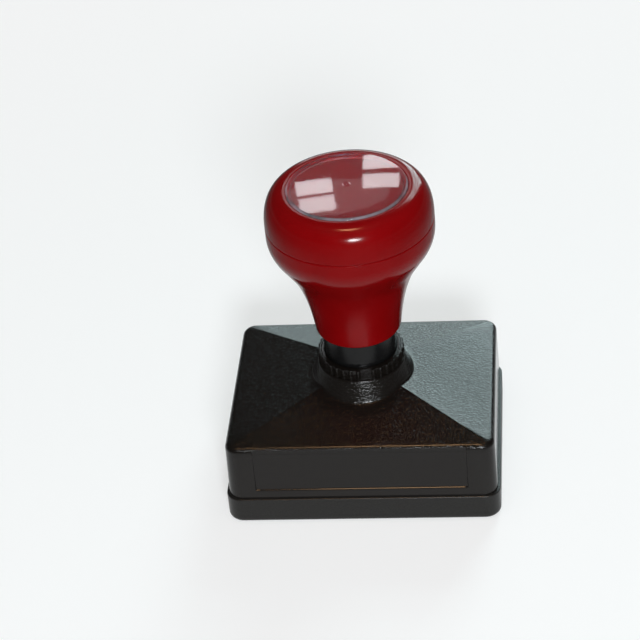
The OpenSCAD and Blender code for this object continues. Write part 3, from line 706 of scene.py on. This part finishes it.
# Depth ring. A black moulded ring on a threaded skirt that screws into the boss. Ribs round its band give
# the fingers a hold, one wide notch marks the setting, and its top is let in for the stop washer.
ring_foot_z, ring_top_z = levels("adjusting_ring")
band_z, slide_r, ring_skirt_r, ring_r = 33.1 * mm, 9.65 * mm, 10.35 * mm, 11.4 * mm
rib_count, rib_r, rib_out, rib_top_z = 34, 0.62 * mm, 0.35 * mm, ring_top_z - 0.02 * mm
notch_half_w, notch_floor, notch_turn = 1.5 * mm, 10.8 * mm, radians(-80)
washer_seat_r, washer_seat_z = 10.6 * mm, ring_top_z - 0.6 * mm
skirt_thread_turns, skirt_thread_depth = 5, 0.12 * mm


def notched(loop):
    """The loop with its outer side cut flat across the index notch."""
    way = spun(1, notch_turn, 0)
    side = Vector((-way.y, way.x, 0))
    cut_loop = []
    for p in loop:
        out, across = p.dot(way), p.dot(side)
        if out > notch_floor and abs(across) < notch_half_w:
            p = p - way * (out - notch_floor)
        cut_loop.append(p)
    return cut_loop


notch_edge = asin(notch_half_w / ring_r) - 0.003
ring_angles = sorted(
    [notch_turn + 2 * pi * k / 180 for k in range(180)]
    + [notch_turn + notch_edge, notch_turn + 2 * pi - notch_edge])
band_outline = filleted([
    *threaded(ring_skirt_r, ring_foot_z, band_z - 0.8 * mm, skirt_thread_depth, skirt_thread_turns),
    (ring_skirt_r - skirt_thread_depth, band_z, 0.1),
    (ring_r - rib_out, band_z, ring_top_z, 0.2, 0.22),
    (washer_seat_r, ring_top_z, washer_seat_z, 0.1, 0),
    (slide_r, washer_seat_z, ring_foot_z, 0.1, 0.1),
], 3)
depth_ring = lofted("depth_ring", [notched([spun(p.x, a, p.y) for a in ring_angles]) for p in band_outline])
rib = turned("rib", filleted([(0, rib_top_z, band_z, 0, 0), (rib_r, band_z, rib_top_z, 0.2, 0.22)]), 20)
round_pattern.grow(
    depth_ring, grainy, Shape=rib, Count=rib_count, Missing=1, Radius=ring_r - rib_r, Turn=notch_turn)
dressed(depth_ring, grainy, "ring", "adjusting_ring")


# Stop washer. A thin black washer let into the ring's top, which takes the handle's blow and stays still
# while the ring turns under it.
def flat_washer(name, node, bore_r, fillet):
    """A washer in a node's box with its four edges rounded, by so many millimetres."""
    low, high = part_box(node)
    return turned(name, filleted([
        (bore_r, high.z, low.z, fillet, fillet), (high.x, low.z, high.z, fillet, fillet)], 3))


stop_washer = flat_washer("stop_washer_disc", "stop_washer", slide_r, 0.12)
dressed(stop_washer, grainy, "washer", "stop_washer")


# Push rod. A turned steel rod that hangs from the handle's web by its thinner, threaded end and carries
# the print unit at its foot, which is bored and tapped for a screw.
rod_foot_z, rod_top_z = levels("push_rod")
rod_r, rod_end_r, web_z = 3.0 * mm, 2.0 * mm, 63.9 * mm
rod_bore_r, rod_bore_top_z = 1.6 * mm, 25.2 * mm
rod_thread_turns, rod_thread_depth = 11, 0.16 * mm
push_rod = turned("push_rod_turned", filleted([
    (0, rod_bore_top_z, 0),
    (rod_bore_r, rod_bore_top_z - 0.6 * mm, rod_foot_z, 0, 0.25),
    (rod_r, rod_foot_z, web_z, 0.4, 0.2),
    (rod_end_r - rod_thread_depth, web_z, 0),
    *threaded(rod_end_r, web_z + 0.4 * mm, rod_top_z - 0.5 * mm, rod_thread_depth, rod_thread_turns),
    (rod_end_r - 0.6 * mm, rod_top_z, 0),
    (0, rod_top_z, 0),
]), 64, 30)
dressed(push_rod, steel, "handle", "push_rod")


# Rod nut and rod washer. A zinc-plated hexagon nut with chamfered corners on a flat washer, which pull the
# rod's shoulder up against the handle's web, under the dome.
nut_foot_z, nut_top_z = levels("rod_nut")
nut_flat_r, nut_bore_r, nut_chamfer = 3.5 * mm, 2.1 * mm, 0.3 * mm
nut_corner_lean = tan(radians(30))
nut_angles = [2 * pi * k / 72 for k in range(72)]


def nut_loop(r, z, on_flats=False, corner_drop=0.0):
    """A loop of the nut: round, or out on its six flats, where the chamfer drops the corners."""
    loop = []
    for a in nut_angles:
        flat_r = nut_flat_r / cos(a % (pi / 3) - pi / 6)
        loop.append(spun(flat_r if on_flats else r, a, z + corner_drop * (flat_r - nut_flat_r)))
    return loop


rod_nut = lofted("rod_nut_hexagon", [
    nut_loop(nut_bore_r, nut_top_z - nut_chamfer),
    nut_loop(nut_bore_r, nut_foot_z + nut_chamfer),
    nut_loop(nut_bore_r + nut_chamfer, nut_foot_z),
    nut_loop(nut_flat_r, nut_foot_z),
    nut_loop(0, nut_foot_z, True, nut_corner_lean),
    nut_loop(0, nut_top_z, True, -nut_corner_lean),
    nut_loop(nut_flat_r, nut_top_z),
    nut_loop(nut_bore_r + nut_chamfer, nut_top_z),
], 24)
dressed(rod_nut, steel, "handle", "rod_nut")
rod_washer = flat_washer("rod_washer_disc", "rod_washer", nut_bore_r, 0.12)
dressed(rod_washer, steel, "handle", "rod_washer")


# Handle body. The lower half of the handle, moulded in glossy red plastic: a hollow stem that slides over
# the tube, flares into a bowl and ends in a small bevel at the seam. A web inside is bolted to the rod.
stem_z, seam_z = levels("handle_body")
head_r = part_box("handle_body")[1].x
stem_r, stem_edge_r = 11.15 * mm, 0.7 * mm
stem_lean, bowl_lean = radians(7), radians(33)
bowl_draw, bowl_round = 4.5 * mm, 3.0 * mm
web_top_z, bowl_bore_r, bowl_bore_z, bowl_floor_r = 66.9 * mm, 19.4 * mm, 71.3 * mm, 16.4 * mm
seam_bevel = 0.25 * mm
stem_foot = Vector((stem_r + stem_edge_r * tan(stem_lean), stem_z + stem_edge_r))
flare_top = Vector((head_r - bowl_draw, web_z))
flare = flare_top - stem_foot
knee_rise = (flare.x - flare.y * tan(bowl_lean)) / (tan(stem_lean) - tan(bowl_lean))
flare_knee = stem_foot + knee_rise * Vector((tan(stem_lean), 1))
bowl_way = Vector((sin(bowl_lean), cos(bowl_lean)))
bowl_shoulder = Vector((head_r, web_z + bowl_draw / tan(bowl_lean)))
bowl_side = bowl_shoulder + Vector((0, bowl_round))


def arc(centre_r, centre_z, r, start, end, steps=6):
    """Outline points round a centre from one angle to another, in degrees."""
    turns = [radians(start + (end - start) * k / steps) for k in range(steps + 1)]
    return [Vector((centre_r + r * cos(a), centre_z + r * sin(a))) for a in turns]


handle_inside = filleted([
    (head_r, bowl_side.y, seam_z - seam_bevel, 0, 0.08),
    (head_r - seam_bevel, seam_z, 0.08),
    (bowl_bore_r, seam_z, bowl_bore_z, 0.2, 1.0),
    (bowl_floor_r, web_top_z, 0.8),
    (nut_bore_r, web_top_z, web_z, 0.2, 0.2),
    (slide_r, web_z, stem_z, 0.6, 0.3),
    (stem_r - stem_edge_r, stem_z, 0),
])
handle_outline = arc(stem_r - stem_edge_r, stem_z + stem_edge_r, stem_edge_r, -90, 0)
handle_outline += bend(stem_foot, flare_knee, flare_top, 26)
handle_outline += bend(bowl_shoulder - bowl_round * bowl_way, bowl_shoulder, bowl_side, 12)
handle_body = turned("handle_stem_and_bowl", handle_outline + handle_inside[1:-1], 192)


def hairline_effect():
    """Fine straight scratches in two directions: 1 on a scratch and 0 beside it, at a spacing in metres."""
    group = Effect("hairlines", ("Spacing",), "Line")
    scale = group.math("DIVIDE", 1.0, group.value["Spacing"])
    lines = []
    for turn in (24, 131):
        way = group.add(
            "ShaderNodeMapping", {"vector_type": "TEXTURE"}, Vector=group.place,
            Rotation=(0, 0, radians(turn)), Scale=(1, 30, 1))
        lines.append(group.spread(group.noise(way.outputs[0], scale, 1.0), 0.7, 0.76))
    return group.end(group.math("MAXIMUM", *lines))


hairlines = hairline_effect()
red_gloss = Finish("red_gloss", (0.205, 0.0017, 0.0025), 0.15, Specular_IOR_Level=0.17)
red_scratches = red_gloss.effect(hairlines, Spacing=0.5 * mm)
red_base = red_gloss.math("MULTIPLY_ADD", red_scratches, 0.08, red_gloss.roughness)
red_smear = red_gloss.smeared(0.1, 11 * mm, red_base)
red_gloss.tint(red_gloss.spread(red_smear, -0.25, 0.25), (0.19, 0.0012, 0.0018), (0.22, 0.002, 0.003))
red_gloss.bump(red_gloss.clouds(2.5 * mm), 0.008 * mm)
dressed(handle_body, red_gloss, "handle", "handle_body")


# Handle cap. The red dome above the seam, pressed into the bowl by a spigot. Its top is let in, with a
# small rounded lip, for an index card under the lens.
spigot_z, dome_top_z = levels("handle_cap")
spigot_r, spigot_bore_r = 19.3 * mm, 18.1 * mm
lens_seat_r, lens_seat_z, lens_lip_r = 15.55 * mm, levels("index_lens")[0], 0.2 * mm
dome_bore_r, dome_bore_z = lens_seat_r - 2.2 * mm, lens_seat_z - 2.0 * mm
dome_power = 2 / 2.4
crest_r = lens_seat_r + lens_lip_r
dome_foot_z = seam_z + seam_bevel
dome = [
    Vector((
        crest_r + (head_r - crest_r) * cos(a) ** dome_power,
        dome_foot_z + (dome_top_z - dome_foot_z) * sin(a) ** dome_power))
    for a in (radians(2.8 * k) for k in range(1, 32))]
lens_lip = arc(crest_r, dome_top_z - lens_lip_r, lens_lip_r, 90, 180)
cap_inside = filleted([
    (lens_seat_r, dome_top_z - lens_lip_r, lens_seat_z, 0, 0.15),
    (0, lens_seat_z, dome_bore_z, 0, 0),
    (dome_bore_r, dome_bore_z, 0.5),
    (spigot_bore_r, seam_z, spigot_z, 0.4, 0.2),
    (spigot_r, spigot_z, seam_z, 0.3, 0.1),
    (head_r - seam_bevel, seam_z, 0.08),
    (head_r, dome_foot_z, 0.08),
    (*dome[0], 0),
])
handle_cap = turned("handle_dome", dome + lens_lip + cap_inside[1:-1], 192)
dressed(handle_cap, red_gloss, "handle", "handle_cap")


# Index lens. A clear acrylic disc with a bevelled rim and a low foot, which lies in the dome's recess over
# the card. Its top is slightly crowned and keeps a small dimple from the mould's gate. Its bevel glows pale
# lavender in patches: a painted highlight.
lens_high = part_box("index_lens")[1]
lens_r, lens_crown, lens_bevel = lens_high.x, 0.3 * mm, 0.45 * mm
lens_rim_z = lens_high.z - lens_crown
lens_side_z, lens_under_z = lens_rim_z - lens_bevel, lens_rim_z - 1.5 * mm
lens_foot_in, lens_foot_z = 14.3 * mm, lens_seat_z + 0.03 * mm
gate_r, gate_depth = 0.9 * mm, 0.1 * mm
crown_r, crown_steps = lens_r - lens_bevel, 24
crown = []
for k in range(crown_steps + 1):
    r = crown_r * (1 - k / crown_steps) ** 1.4
    dimple = gate_depth * (1 - smoothstep(r / gate_r))
    crown.append(Vector((r, lens_rim_z + lens_crown * (1 - (r / crown_r) ** 2) - dimple)))
lens_rim = filleted([
    (0, lens_under_z, 0),
    (lens_foot_in, lens_under_z, lens_foot_z, 0.15, 0.1),
    (lens_r, lens_foot_z, lens_side_z, 0.1, 0.08),
    (crown_r, lens_rim_z, 0),
])
index_lens = turned("index_lens_disc", crown + lens_rim[:-1], 160, 30)
acrylic = Finish(
    "clear_acrylic", (0.97, 0.975, 0.98), 0.03, "clear_lens", Transmission_Weight=0.985, IOR=1.49,
    Emission_Strength=1.0)
lens_scratches = acrylic.effect(hairlines, Spacing=0.22 * mm)
acrylic.smeared(0.04, 4 * mm, acrylic.math("MULTIPLY_ADD", lens_scratches, 0.07, acrylic.roughness))
acrylic.bump(acrylic.clouds(3.0 * mm), 0.004 * mm)
lens_x, lens_y, lens_z = acrylic.axes()
lens_reach = acrylic.math(
    "SQRT", acrylic.math("MULTIPLY_ADD", lens_x, lens_x, acrylic.math("MULTIPLY", lens_y, lens_y)))
# The bevelled rim glows pale lavender in patches through the lens's emission: a painted highlight, not light
# from any lamp.
rim_side = acrylic.spread(lens_reach, crown_r - 0.05 * mm, crown_r + 0.1 * mm)
rim_above = acrylic.spread(lens_z, lens_side_z - 0.1 * mm, lens_side_z)
painted_glint_patches = acrylic.spread(acrylic.clouds(6 * mm), 0.35, 0.65, 0.08, 1.0)
painted_rim_glint = acrylic.math("MULTIPLY", acrylic.math("MULTIPLY", rim_side, rim_above), painted_glint_patches)
acrylic.tint(painted_rim_glint, (0, 0, 0), (0.23, 0.18, 0.21), "Emission Color")
# Lamp light reaches the card through the lens dimmed and tinted plum, much more than clear acrylic would:
# painted shade under the lens.
lamp_rays = acrylic.add("ShaderNodeLightPath").outputs["Is Shadow Ray"]
painted_lens_shade = acrylic.add("ShaderNodeBsdfTransparent", Color=(0.74, 0.62, 0.78, 1))
clear_mix = acrylic.add("ShaderNodeMixShader", Fac=lamp_rays)
acrylic.feed(clear_mix.inputs[1], acrylic.shader.outputs[0])
acrylic.feed(clear_mix.inputs[2], painted_lens_shade.outputs[0])
acrylic.feed(acrylic.tree.nodes["Material Output"].inputs["Surface"], clear_mix.outputs[0])
dressed(index_lens, acrylic, "lens", "index_lens")


# Die carrier. A stiff black plate with a central boss and crossed ribs, screwed to the rod's foot. It keeps
# the pad and the die flat, and a pocket in its underside takes the screw's head.
carrier_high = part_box("die_carrier")[1]
carrier_z, carrier_top_z = levels("die_carrier")
unit_r = 1.0 * mm
plate, plate_top_z = (carrier_high.x, carrier_high.y, unit_r), 15.8 * mm
carrier_boss_r, carrier_boss_z = 8.0 * mm, carrier_z + 0.4 * mm
brace_half_w, brace_half_d, brace_half_t, brace_r = 30.0 * mm, 22.6 * mm, 0.8 * mm, 0.4 * mm
brace_z, brace_top_z = plate_top_z - 0.5 * mm, 18.2 * mm
pocket_r, pocket_top_z, rod_socket_r = 3.8 * mm, 16.0 * mm, 3.1 * mm


def quarter(r, steps):
    """A rounded edge from its flat to its upright: how far each point lies back and has risen."""
    turns = [radians(90 * k / steps) for k in range(steps + 1)]
    return [(r * (1 - sin(a)), r * (1 - cos(a))) for a in turns]


def slab(name, size, low, high, edge):
    """A flat slab with rounded corners, whose upper and lower edges are rounded over."""
    steps = quarter(edge, 3)
    loops = [rounded_loop(size, low + rise, -back) for back, rise in steps]
    loops += [rounded_loop(size, high - rise, -back) for back, rise in reversed(steps)]
    return lofted(name, loops, ends="filled")


die_carrier = slab("die_carrier_plate", plate, carrier_z, plate_top_z, 0.25 * mm)
carrier_boss = turned("carrier_boss", filleted([
    (0, carrier_top_z, carrier_boss_z, 0, 0),
    (carrier_boss_r, carrier_boss_z, carrier_top_z, 0, 0.4),
]), 96)
worked(die_carrier, carrier_boss, "UNION")
for half_w, half_d in ((brace_half_w, brace_half_t), (brace_half_t, brace_half_d)):
    worked(die_carrier, slab("brace", (half_w, half_d, brace_r), brace_z, brace_top_z, 0.2 * mm), "UNION")
carrier_bore = turned("carrier_bore", filleted([
    (0, carrier_top_z + mm, carrier_z - mm, 0, 0),
    (pocket_r, carrier_z - mm, pocket_top_z, 0, 0.15),
    (rod_bore_r, pocket_top_z, rod_foot_z, 0, 0),
    (rod_socket_r, rod_foot_z, carrier_top_z + mm, 0.15, 0),
]), 64)
worked(die_carrier, carrier_bore, "DIFFERENCE")
dressed(die_carrier, black_smooth, "handle", "die_carrier")


# Carrier screw and carrier washer. A zinc-plated screw with a cross recess and a flat washer, which hold the
# carrier up to the rod from the pocket in its underside.
bolt_head_r, bolt_head_h, bolt_r, bolt_thread_turns = 2.75 * mm, 1.9 * mm, 1.5 * mm, 12
carrier_screw = cross_head_screw(
    "carrier_screw_turned", *levels("carrier_screw"), bolt_head_r, bolt_head_h, bolt_r, bolt_thread_turns)
dressed(carrier_screw, steel, "handle", "carrier_screw")
carrier_washer = flat_washer("carrier_washer_disc", "carrier_washer", rod_bore_r, 0.1)
dressed(carrier_washer, steel, "handle", "carrier_washer")


# Ink pad. A slab of open-cell foam, soaked with dark ink, that lies between the carrier and the die and
# feeds the die through its pores. Its sides draw in a little where the plates press it.
pad_low, pad_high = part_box("ink_pad")
pad_bulge, pad_steps = 0.2 * mm, 10
pad_loops = []
for k in range(pad_steps + 1):
    a = pi * (k / pad_steps - 0.5)
    back = pad_bulge * (1 - cos(a))
    z = (pad_low.z + pad_high.z) / 2 + (pad_high.z - pad_low.z) / 2 * sin(a)
    pad_loops.append(rounded_loop((pad_high.x - back, pad_high.y - back, unit_r), z))
ink_pad = lofted("ink_pad_foam", pad_loops, ends="filled")
ink_foam = Finish("inked_foam", (0.03, 0.025, 0.035), 0.6, "ink_foam")
pores = ink_foam.add("ShaderNodeTexVoronoi", Vector=ink_foam.place, Scale=1 / (0.5 * mm)).outputs["Distance"]
ink_foam.smeared(0.3, 4 * mm)
# The foam is darker where the bump sinks its pores: partly painted shade in the pores, partly the ink they
# hold.
ink_foam.tint(pores, (0.045, 0.035, 0.05), (0.008, 0.006, 0.01))
ink_foam.bump(pores, -0.15 * mm)
dressed(ink_pad, ink_foam, "handle", "ink_pad")


# Stamp die. A sheet of microporous rubber with a flange that the frame grips. Its printing face has a
# raised border and plain raised bars, with no words.
die_low, die_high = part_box("stamp_die")
flange_z, die_edge = 9.2 * mm, 0.12 * mm
face_half_w, face_half_d = 29.7 * mm, 22.3 * mm
relief_w, field_z = 1.5 * mm, die_low.z + 0.5 * mm
field_half_w, field_half_d = face_half_w - relief_w, face_half_d - relief_w
bar_count, bar_half_w, bar_r = 4, field_half_w - 2 * relief_w, 0.4 * mm
bar_pitch, bar_top_z = 2 * field_half_d / (bar_count + 1), field_z + 0.3 * mm


def walled(name, walls, ends="joined"):
    """A piece of upright walls round the unit. A wall has a half width and half depth, its two levels and
    the bevels at them, which flare outwards where they are under 0."""
    loops = []
    for half_w, half_d, start, end, first, last in walls:
        size, way = (half_w, half_d, unit_r), 1 if end > start else -1
        loops += [rounded_loop(size, start, -first)] if first else []
        loops += [rounded_loop(size, start + way * abs(first)), rounded_loop(size, end - way * abs(last))]
        loops += [rounded_loop(size, end, -last)] if last else []
    return lofted(name, loops, ends=ends)


stamp_die = walled("stamp_die_sheet", [
    (die_high.x, die_high.y, die_high.z, flange_z, die_edge, die_edge),
    (face_half_w, face_half_d, flange_z, die_low.z, 0, die_edge),
    (field_half_w, field_half_d, die_low.z, field_z, -die_edge, 0),
], "filled")


def row_pattern_tree():
    """Copies in a row along Y from a start, a step apart."""
    pattern = Pattern("row_pattern", Shape="Object", Count="Int", Start="Float", Step="Float")
    first, step = (pattern.add("ShaderNodeCombineXYZ", Y=pattern.value[name]) for name in ("Start", "Step"))
    row = pattern.add(
        "GeometryNodeMeshLine", Count=pattern.value["Count"], Start_Location=first.outputs[0],
        Offset=step.outputs[0])
    return pattern.end_in_copies(row.outputs[0])


die_rubber = Finish("die_rubber", (0.16, 0.04, 0.035), 0.62)
rubber_smear = die_rubber.smeared(0.2, 5 * mm)
die_rubber.tint(die_rubber.spread(rubber_smear, -0.2, 0.2), (0.12, 0.03, 0.028), (0.19, 0.05, 0.042))
die_rubber.grained(0.18 * mm, 0.015 * mm)
die_bar = slab("die_bar", (bar_half_w, relief_w / 2, bar_r), die_low.z, bar_top_z, die_edge)
row_pattern_tree().grow(
    stamp_die, die_rubber, Shape=die_bar, Count=bar_count, Start=bar_pitch - field_half_d, Step=bar_pitch)
dressed(stamp_die, die_rubber, "handle", "stamp_die")


# Die frame. A dark grey moulded frame: its lip holds the die's flange, and snap noses on its inner sides
# clip over the carrier's plate.
unit_low, unit_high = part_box("die_frame")
bed_half_w, bed_half_d = 31.0 * mm, 23.6 * mm
mouth_half_w, mouth_half_d = 29.8 * mm, 22.4 * mm
frame_wall, lip_edge, rim_edge = unit_high.x - bed_half_w, 0.15 * mm, 0.3 * mm
nose_half_len, nose_out, nose_z, nose_top_z = 4.0 * mm, 0.5 * mm, 15.9 * mm, unit_high.z - 0.05 * mm
die_frame = walled("die_frame_clip", [
    (mouth_half_w, mouth_half_d, flange_z, unit_low.z, 0, -lip_edge),
    (unit_high.x, unit_high.y, unit_low.z, unit_high.z, rim_edge, rim_edge),
    (bed_half_w, bed_half_d, unit_high.z, flange_z, -lip_edge, 0),
])


def snap_nose(bed_half, turn):
    """A nose on one inner side: flat below, where it holds the plate, and sloped above to let it in."""
    wall, tip = bed_half + frame_wall / 2, bed_half - nose_out
    section = [(wall, nose_z), (tip, nose_z), (tip, nose_z + 0.25 * mm), (wall, nose_top_z)]
    swing, nose_ends = Matrix.Rotation(turn, 3, "Z"), (-nose_half_len, nose_half_len)
    loops = [[swing @ Vector((x, y, z)) for x, z in section] for y in nose_ends]
    return lofted("snap_nose", loops, ends="filled")


for k in range(4):
    worked(die_frame, snap_nose((bed_half_w, bed_half_d)[k % 2], pi / 2 * k), "UNION")
grey_plastic = Finish("grey_plastic", (0.05, 0.05, 0.055), 0.4)
grey_plastic.smeared(0.15, 7 * mm)
grey_plastic.grained(0.35 * mm, 0.012 * mm)
dressed(die_frame, grey_plastic, "handle", "die_frame")


# Dust cap. A shallow black tray that laps over the housing's skirt and keeps the die from drying. Its outer
# corners and lower edge are well rounded, and it is what the stamp stands on.
cap_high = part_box("dust_cap")[1]
cap, cap_edge_r = (cap_high.x, cap_high.y, 4.2 * mm), 1.4 * mm
cap_wall, cap_floor_z, cap_fillet, cap_bend = 1.2 * mm, 1.6 * mm, 0.6 * mm, 0.18 * mm
cap_lip, cap_lip_in, cap_land = 0.25 * mm, 0.12 * mm, 0.2 * mm
sole_back, sole_r = cap_edge_r + 3 * mm, 0.3 * mm
cap_loops = [rounded_loop((cap_high.x - sole_back, cap_high.y - sole_back, sole_r), 0)]
cap_loops += [rounded_loop(cap, rise, -back) for back, rise in quarter(cap_edge_r, 8)]
cap_loops += [rounded_loop(cap, z) for z in (cap_edge_r + cap_land, cap_high.z - cap_lip - cap_land)]
cap_loops += [rounded_loop(cap, cap_high.z - drop, -back) for back, drop in reversed(quarter(cap_lip, 4))]
cap_loops += [rounded_loop(cap, z, -cap_wall + out) for z, out in (
    (cap_high.z, cap_lip_in), (cap_high.z - cap_lip_in, 0), (cap_floor_z + cap_fillet, 0),
    (cap_floor_z + cap_bend, -cap_bend), (cap_floor_z, -cap_fillet))]
dust_cap = lofted("dust_cap_tray", cap_loops, ends="filled")
black_cap = Finish("black_cap", (0.009, 0.0085, 0.008), 0.3, Specular_IOR_Level=0.3)
black_cap.smeared(0.14, 12 * mm)
cap_grain = black_cap.effect(spark_grain, Grain=0.4 * mm)
cap_rub = black_cap.effect(edge_rub, Level=cap_high.z - 0.1 * mm, Reach=0.5 * mm)
cap_pale = black_cap.math("MULTIPLY_ADD", cap_rub, 0.8, black_cap.spread(cap_grain, 0.4, 1.0))
black_cap.tint(cap_pale, (0.007, 0.0066, 0.006), (0.014, 0.013, 0.012))
black_cap.bump(cap_grain, 0.02 * mm)
dressed(dust_cap, black_cap, "cap", "dust_cap")


# Floor. A plain pale studio floor under the stamp, which keeps the stamp's soft shadow. It stays pale to
# the eye all the way out, while polished faces mirror its near part and a dim room beyond it.
floor_half, floor_gap = 12.0, 0.05 * mm
near_grey, far_grey, grey_from, grey_to = (0.5,) * 3, (0.18,) * 3, 0.1, 0.3
glow, glow_from, glow_to = 0.42, 0.06, 0.12
seen_near, seen_more = 0.5, 0.25
floor_mesh = bpy.data.meshes.new("floor")
floor_sides = ((-1, -1), (1, -1), (1, 1), (-1, 1))
floor_corners = [(x * floor_half, y * floor_half, -floor_gap) for x, y in floor_sides]
floor_mesh.from_pydata(floor_corners, [], [(0, 1, 2, 3)])
floor = placed("floor", floor_mesh)
pale = Finish("pale_floor", near_grey, 0.7, Specular_IOR_Level=0.1, Emission_Color=(1, 1, 1, 1))
floor_reach = pale.add("ShaderNodeVectorMath", {"operation": "LENGTH"}, Vector=pale.place).outputs["Value"]
far_share = pale.spread(floor_reach, grey_from, grey_to)
near_glow = pale.spread(floor_reach, glow_from, glow_to, glow, 0.0)
pale.tint(far_share, near_grey, far_grey)
rays = pale.add("ShaderNodeLightPath").outputs
mirror_ray = pale.math("MAXIMUM", rays["Is Glossy Ray"], rays["Is Transmission Ray"])
mirror_glow = pale.math("MULTIPLY", mirror_ray, near_glow)
seen_level = pale.math("MULTIPLY_ADD", far_share, seen_more, seen_near)
seen_glow = pale.math("MULTIPLY", rays["Is Camera Ray"], seen_level)
pale.drive("Emission Strength", pale.math("MAXIMUM", mirror_glow, seen_glow))
floor_mesh.materials.append(pale.material)


# Lamps. A tall barred window behind on the right brightens the right of the roof and a low one the rear, both
# cool. Two pairs of panes and a faint haze show in the lens, a round softbox beside the camera lights the
# front, a warm lamp hangs high in front, and a wide soft lamp above fills the shadows.
def lamp(name, azimuth, elevation, wide, high, radiance, colour, away=2.0, shape="RECTANGLE"):
    """A soft lamp seen from the stamp in a direction (0 is straight behind it) at a size, all in degrees."""
    a, e = radians(azimuth), radians(elevation)
    way = Vector((sin(a) * cos(e), cos(a) * cos(e), sin(e)))
    light = bpy.data.lights.new(name, "AREA")
    light.shape = shape
    light.size, light.size_y = (2 * away * tan(radians(angle / 2)) for angle in (wide, high))
    filled = pi / 4 if shape == "ELLIPSE" else 1.0
    light.energy = radiance * pi * light.size * light.size_y * filled
    light.color = colour
    hung = bpy.data.objects.new(name, light)
    hung.location = lamps_middle + way * away
    hung.rotation_mode = "QUATERNION"
    hung.rotation_quaternion = (-way).to_track_quat("-Z", "Y")
    hung.visible_camera = False
    hung.visible_transmission = False
    bpy.context.scene.collection.objects.link(hung)
    return hung


lamps_middle = Vector((0, 0, lens_rim_z))
daylight, sky_blue = (0.92, 0.97, 1.0), (0.78, 0.985, 1.0)
warm, soft_white = (1.0, 0.58, 0.28), (1, 0.96, 0.92)
window_left, window_right, window_foot, window_head = 5, 27, 8, 42
window_columns, window_rows, window_bar, window_light = 3, 4, 1.8, 9.4
pane_w = (window_right - window_left) / window_columns
pane_h = (window_head - window_foot) / window_rows
for column in range(window_columns):
    for row in range(window_rows):
        azimuth, elevation = window_left + (column + 0.5) * pane_w, window_foot + (row + 0.5) * pane_h
        lamp(
            f"window_{column}_{row}", azimuth, elevation, pane_w - window_bar, pane_h - window_bar,
            window_light, sky_blue)
lamp("low_window", 0, 8, 28, 12, 3.0, sky_blue)
for azimuth, elevations in ((-9.2, (32.4, 35.5)), (-3.3, (28.9, 32.3))):
    for elevation in elevations:
        lamp(f"pane_{azimuth}_{elevation}", azimuth, elevation, 2.7, 2.5, 6.3, daylight)
lamp("veil", -8, 34.5, 9, 6, 0.55, daylight, shape="ELLIPSE")
lamp("front_softbox", 170, 24, 15, 9, 90.0, daylight, 1.6, "ELLIPSE")
lamp("warm_lamp", 186, 82, 12, 9, 30.0, warm).visible_diffuse = False
lamp("overhead", 180, 75, 50, 50, 1.3, soft_white).visible_glossy = False

# The room round the stamp is dim, a little lighter low down, and pale where the camera sees it
room_low, room_high, low_rise, high_rise, backdrop = 0.2, 0.04, 0.05, 0.14, 0.82
world = bpy.data.worlds.new("studio")
world.use_nodes = True
bpy.context.scene.world = world
sky = Nodes(world.node_tree)
sky_way = sky.add("ShaderNodeTexCoord").outputs["Generated"]
sky_rise = sky.add("ShaderNodeSeparateXYZ", Vector=sky_way).outputs["Z"]
room_light = sky.spread(sky_rise, low_rise, high_rise, room_low, room_high)
sky_seen = sky.add("ShaderNodeLightPath").outputs["Is Camera Ray"]
background = sky.tree.nodes["Background"].inputs
sky.feed(background["Strength"], sky.spread(sky_seen, 0.0, 1.0, room_light, backdrop))
background["Color"].default_value = (1, 0.99, 0.98, 1)


# Camera. It stands where the photograph's camera stood, a little right of the front, and looks down on
# the stamp from a little over half a metre. It is rolled as that camera was.
camera_azimuth, camera_elevation, camera_roll = (radians(a) for a in (7.582, 35.993, -5.832))
camera_distance, camera_lens = 583.4 * mm, 125.43
camera_aim = Vector((-10.07 * mm, 0, 44.77 * mm))
back = Vector((
    sin(camera_azimuth) * cos(camera_elevation), -cos(camera_azimuth) * cos(camera_elevation),
    sin(camera_elevation)))
level_right = (-back).cross(Vector((0, 0, 1))).normalized()
level_up = level_right.cross(-back)
right = level_right * cos(camera_roll) + level_up * sin(camera_roll)
up = level_up * cos(camera_roll) - level_right * sin(camera_roll)
camera = bpy.data.objects.new("camera", bpy.data.cameras.new("camera"))
camera.data.sensor_width = 36.0
camera.data.lens = camera_lens
camera.data.clip_start, camera.data.clip_end = 0.01, 100.0
camera.matrix_world = Matrix.Translation(camera_aim + back * camera_distance) @ (
    Matrix((right, up, back)).transposed().to_4x4())
bpy.context.scene.collection.objects.link(camera)
bpy.context.scene.camera = camera
bpy.context.scene.view_settings.view_transform = "Standard"
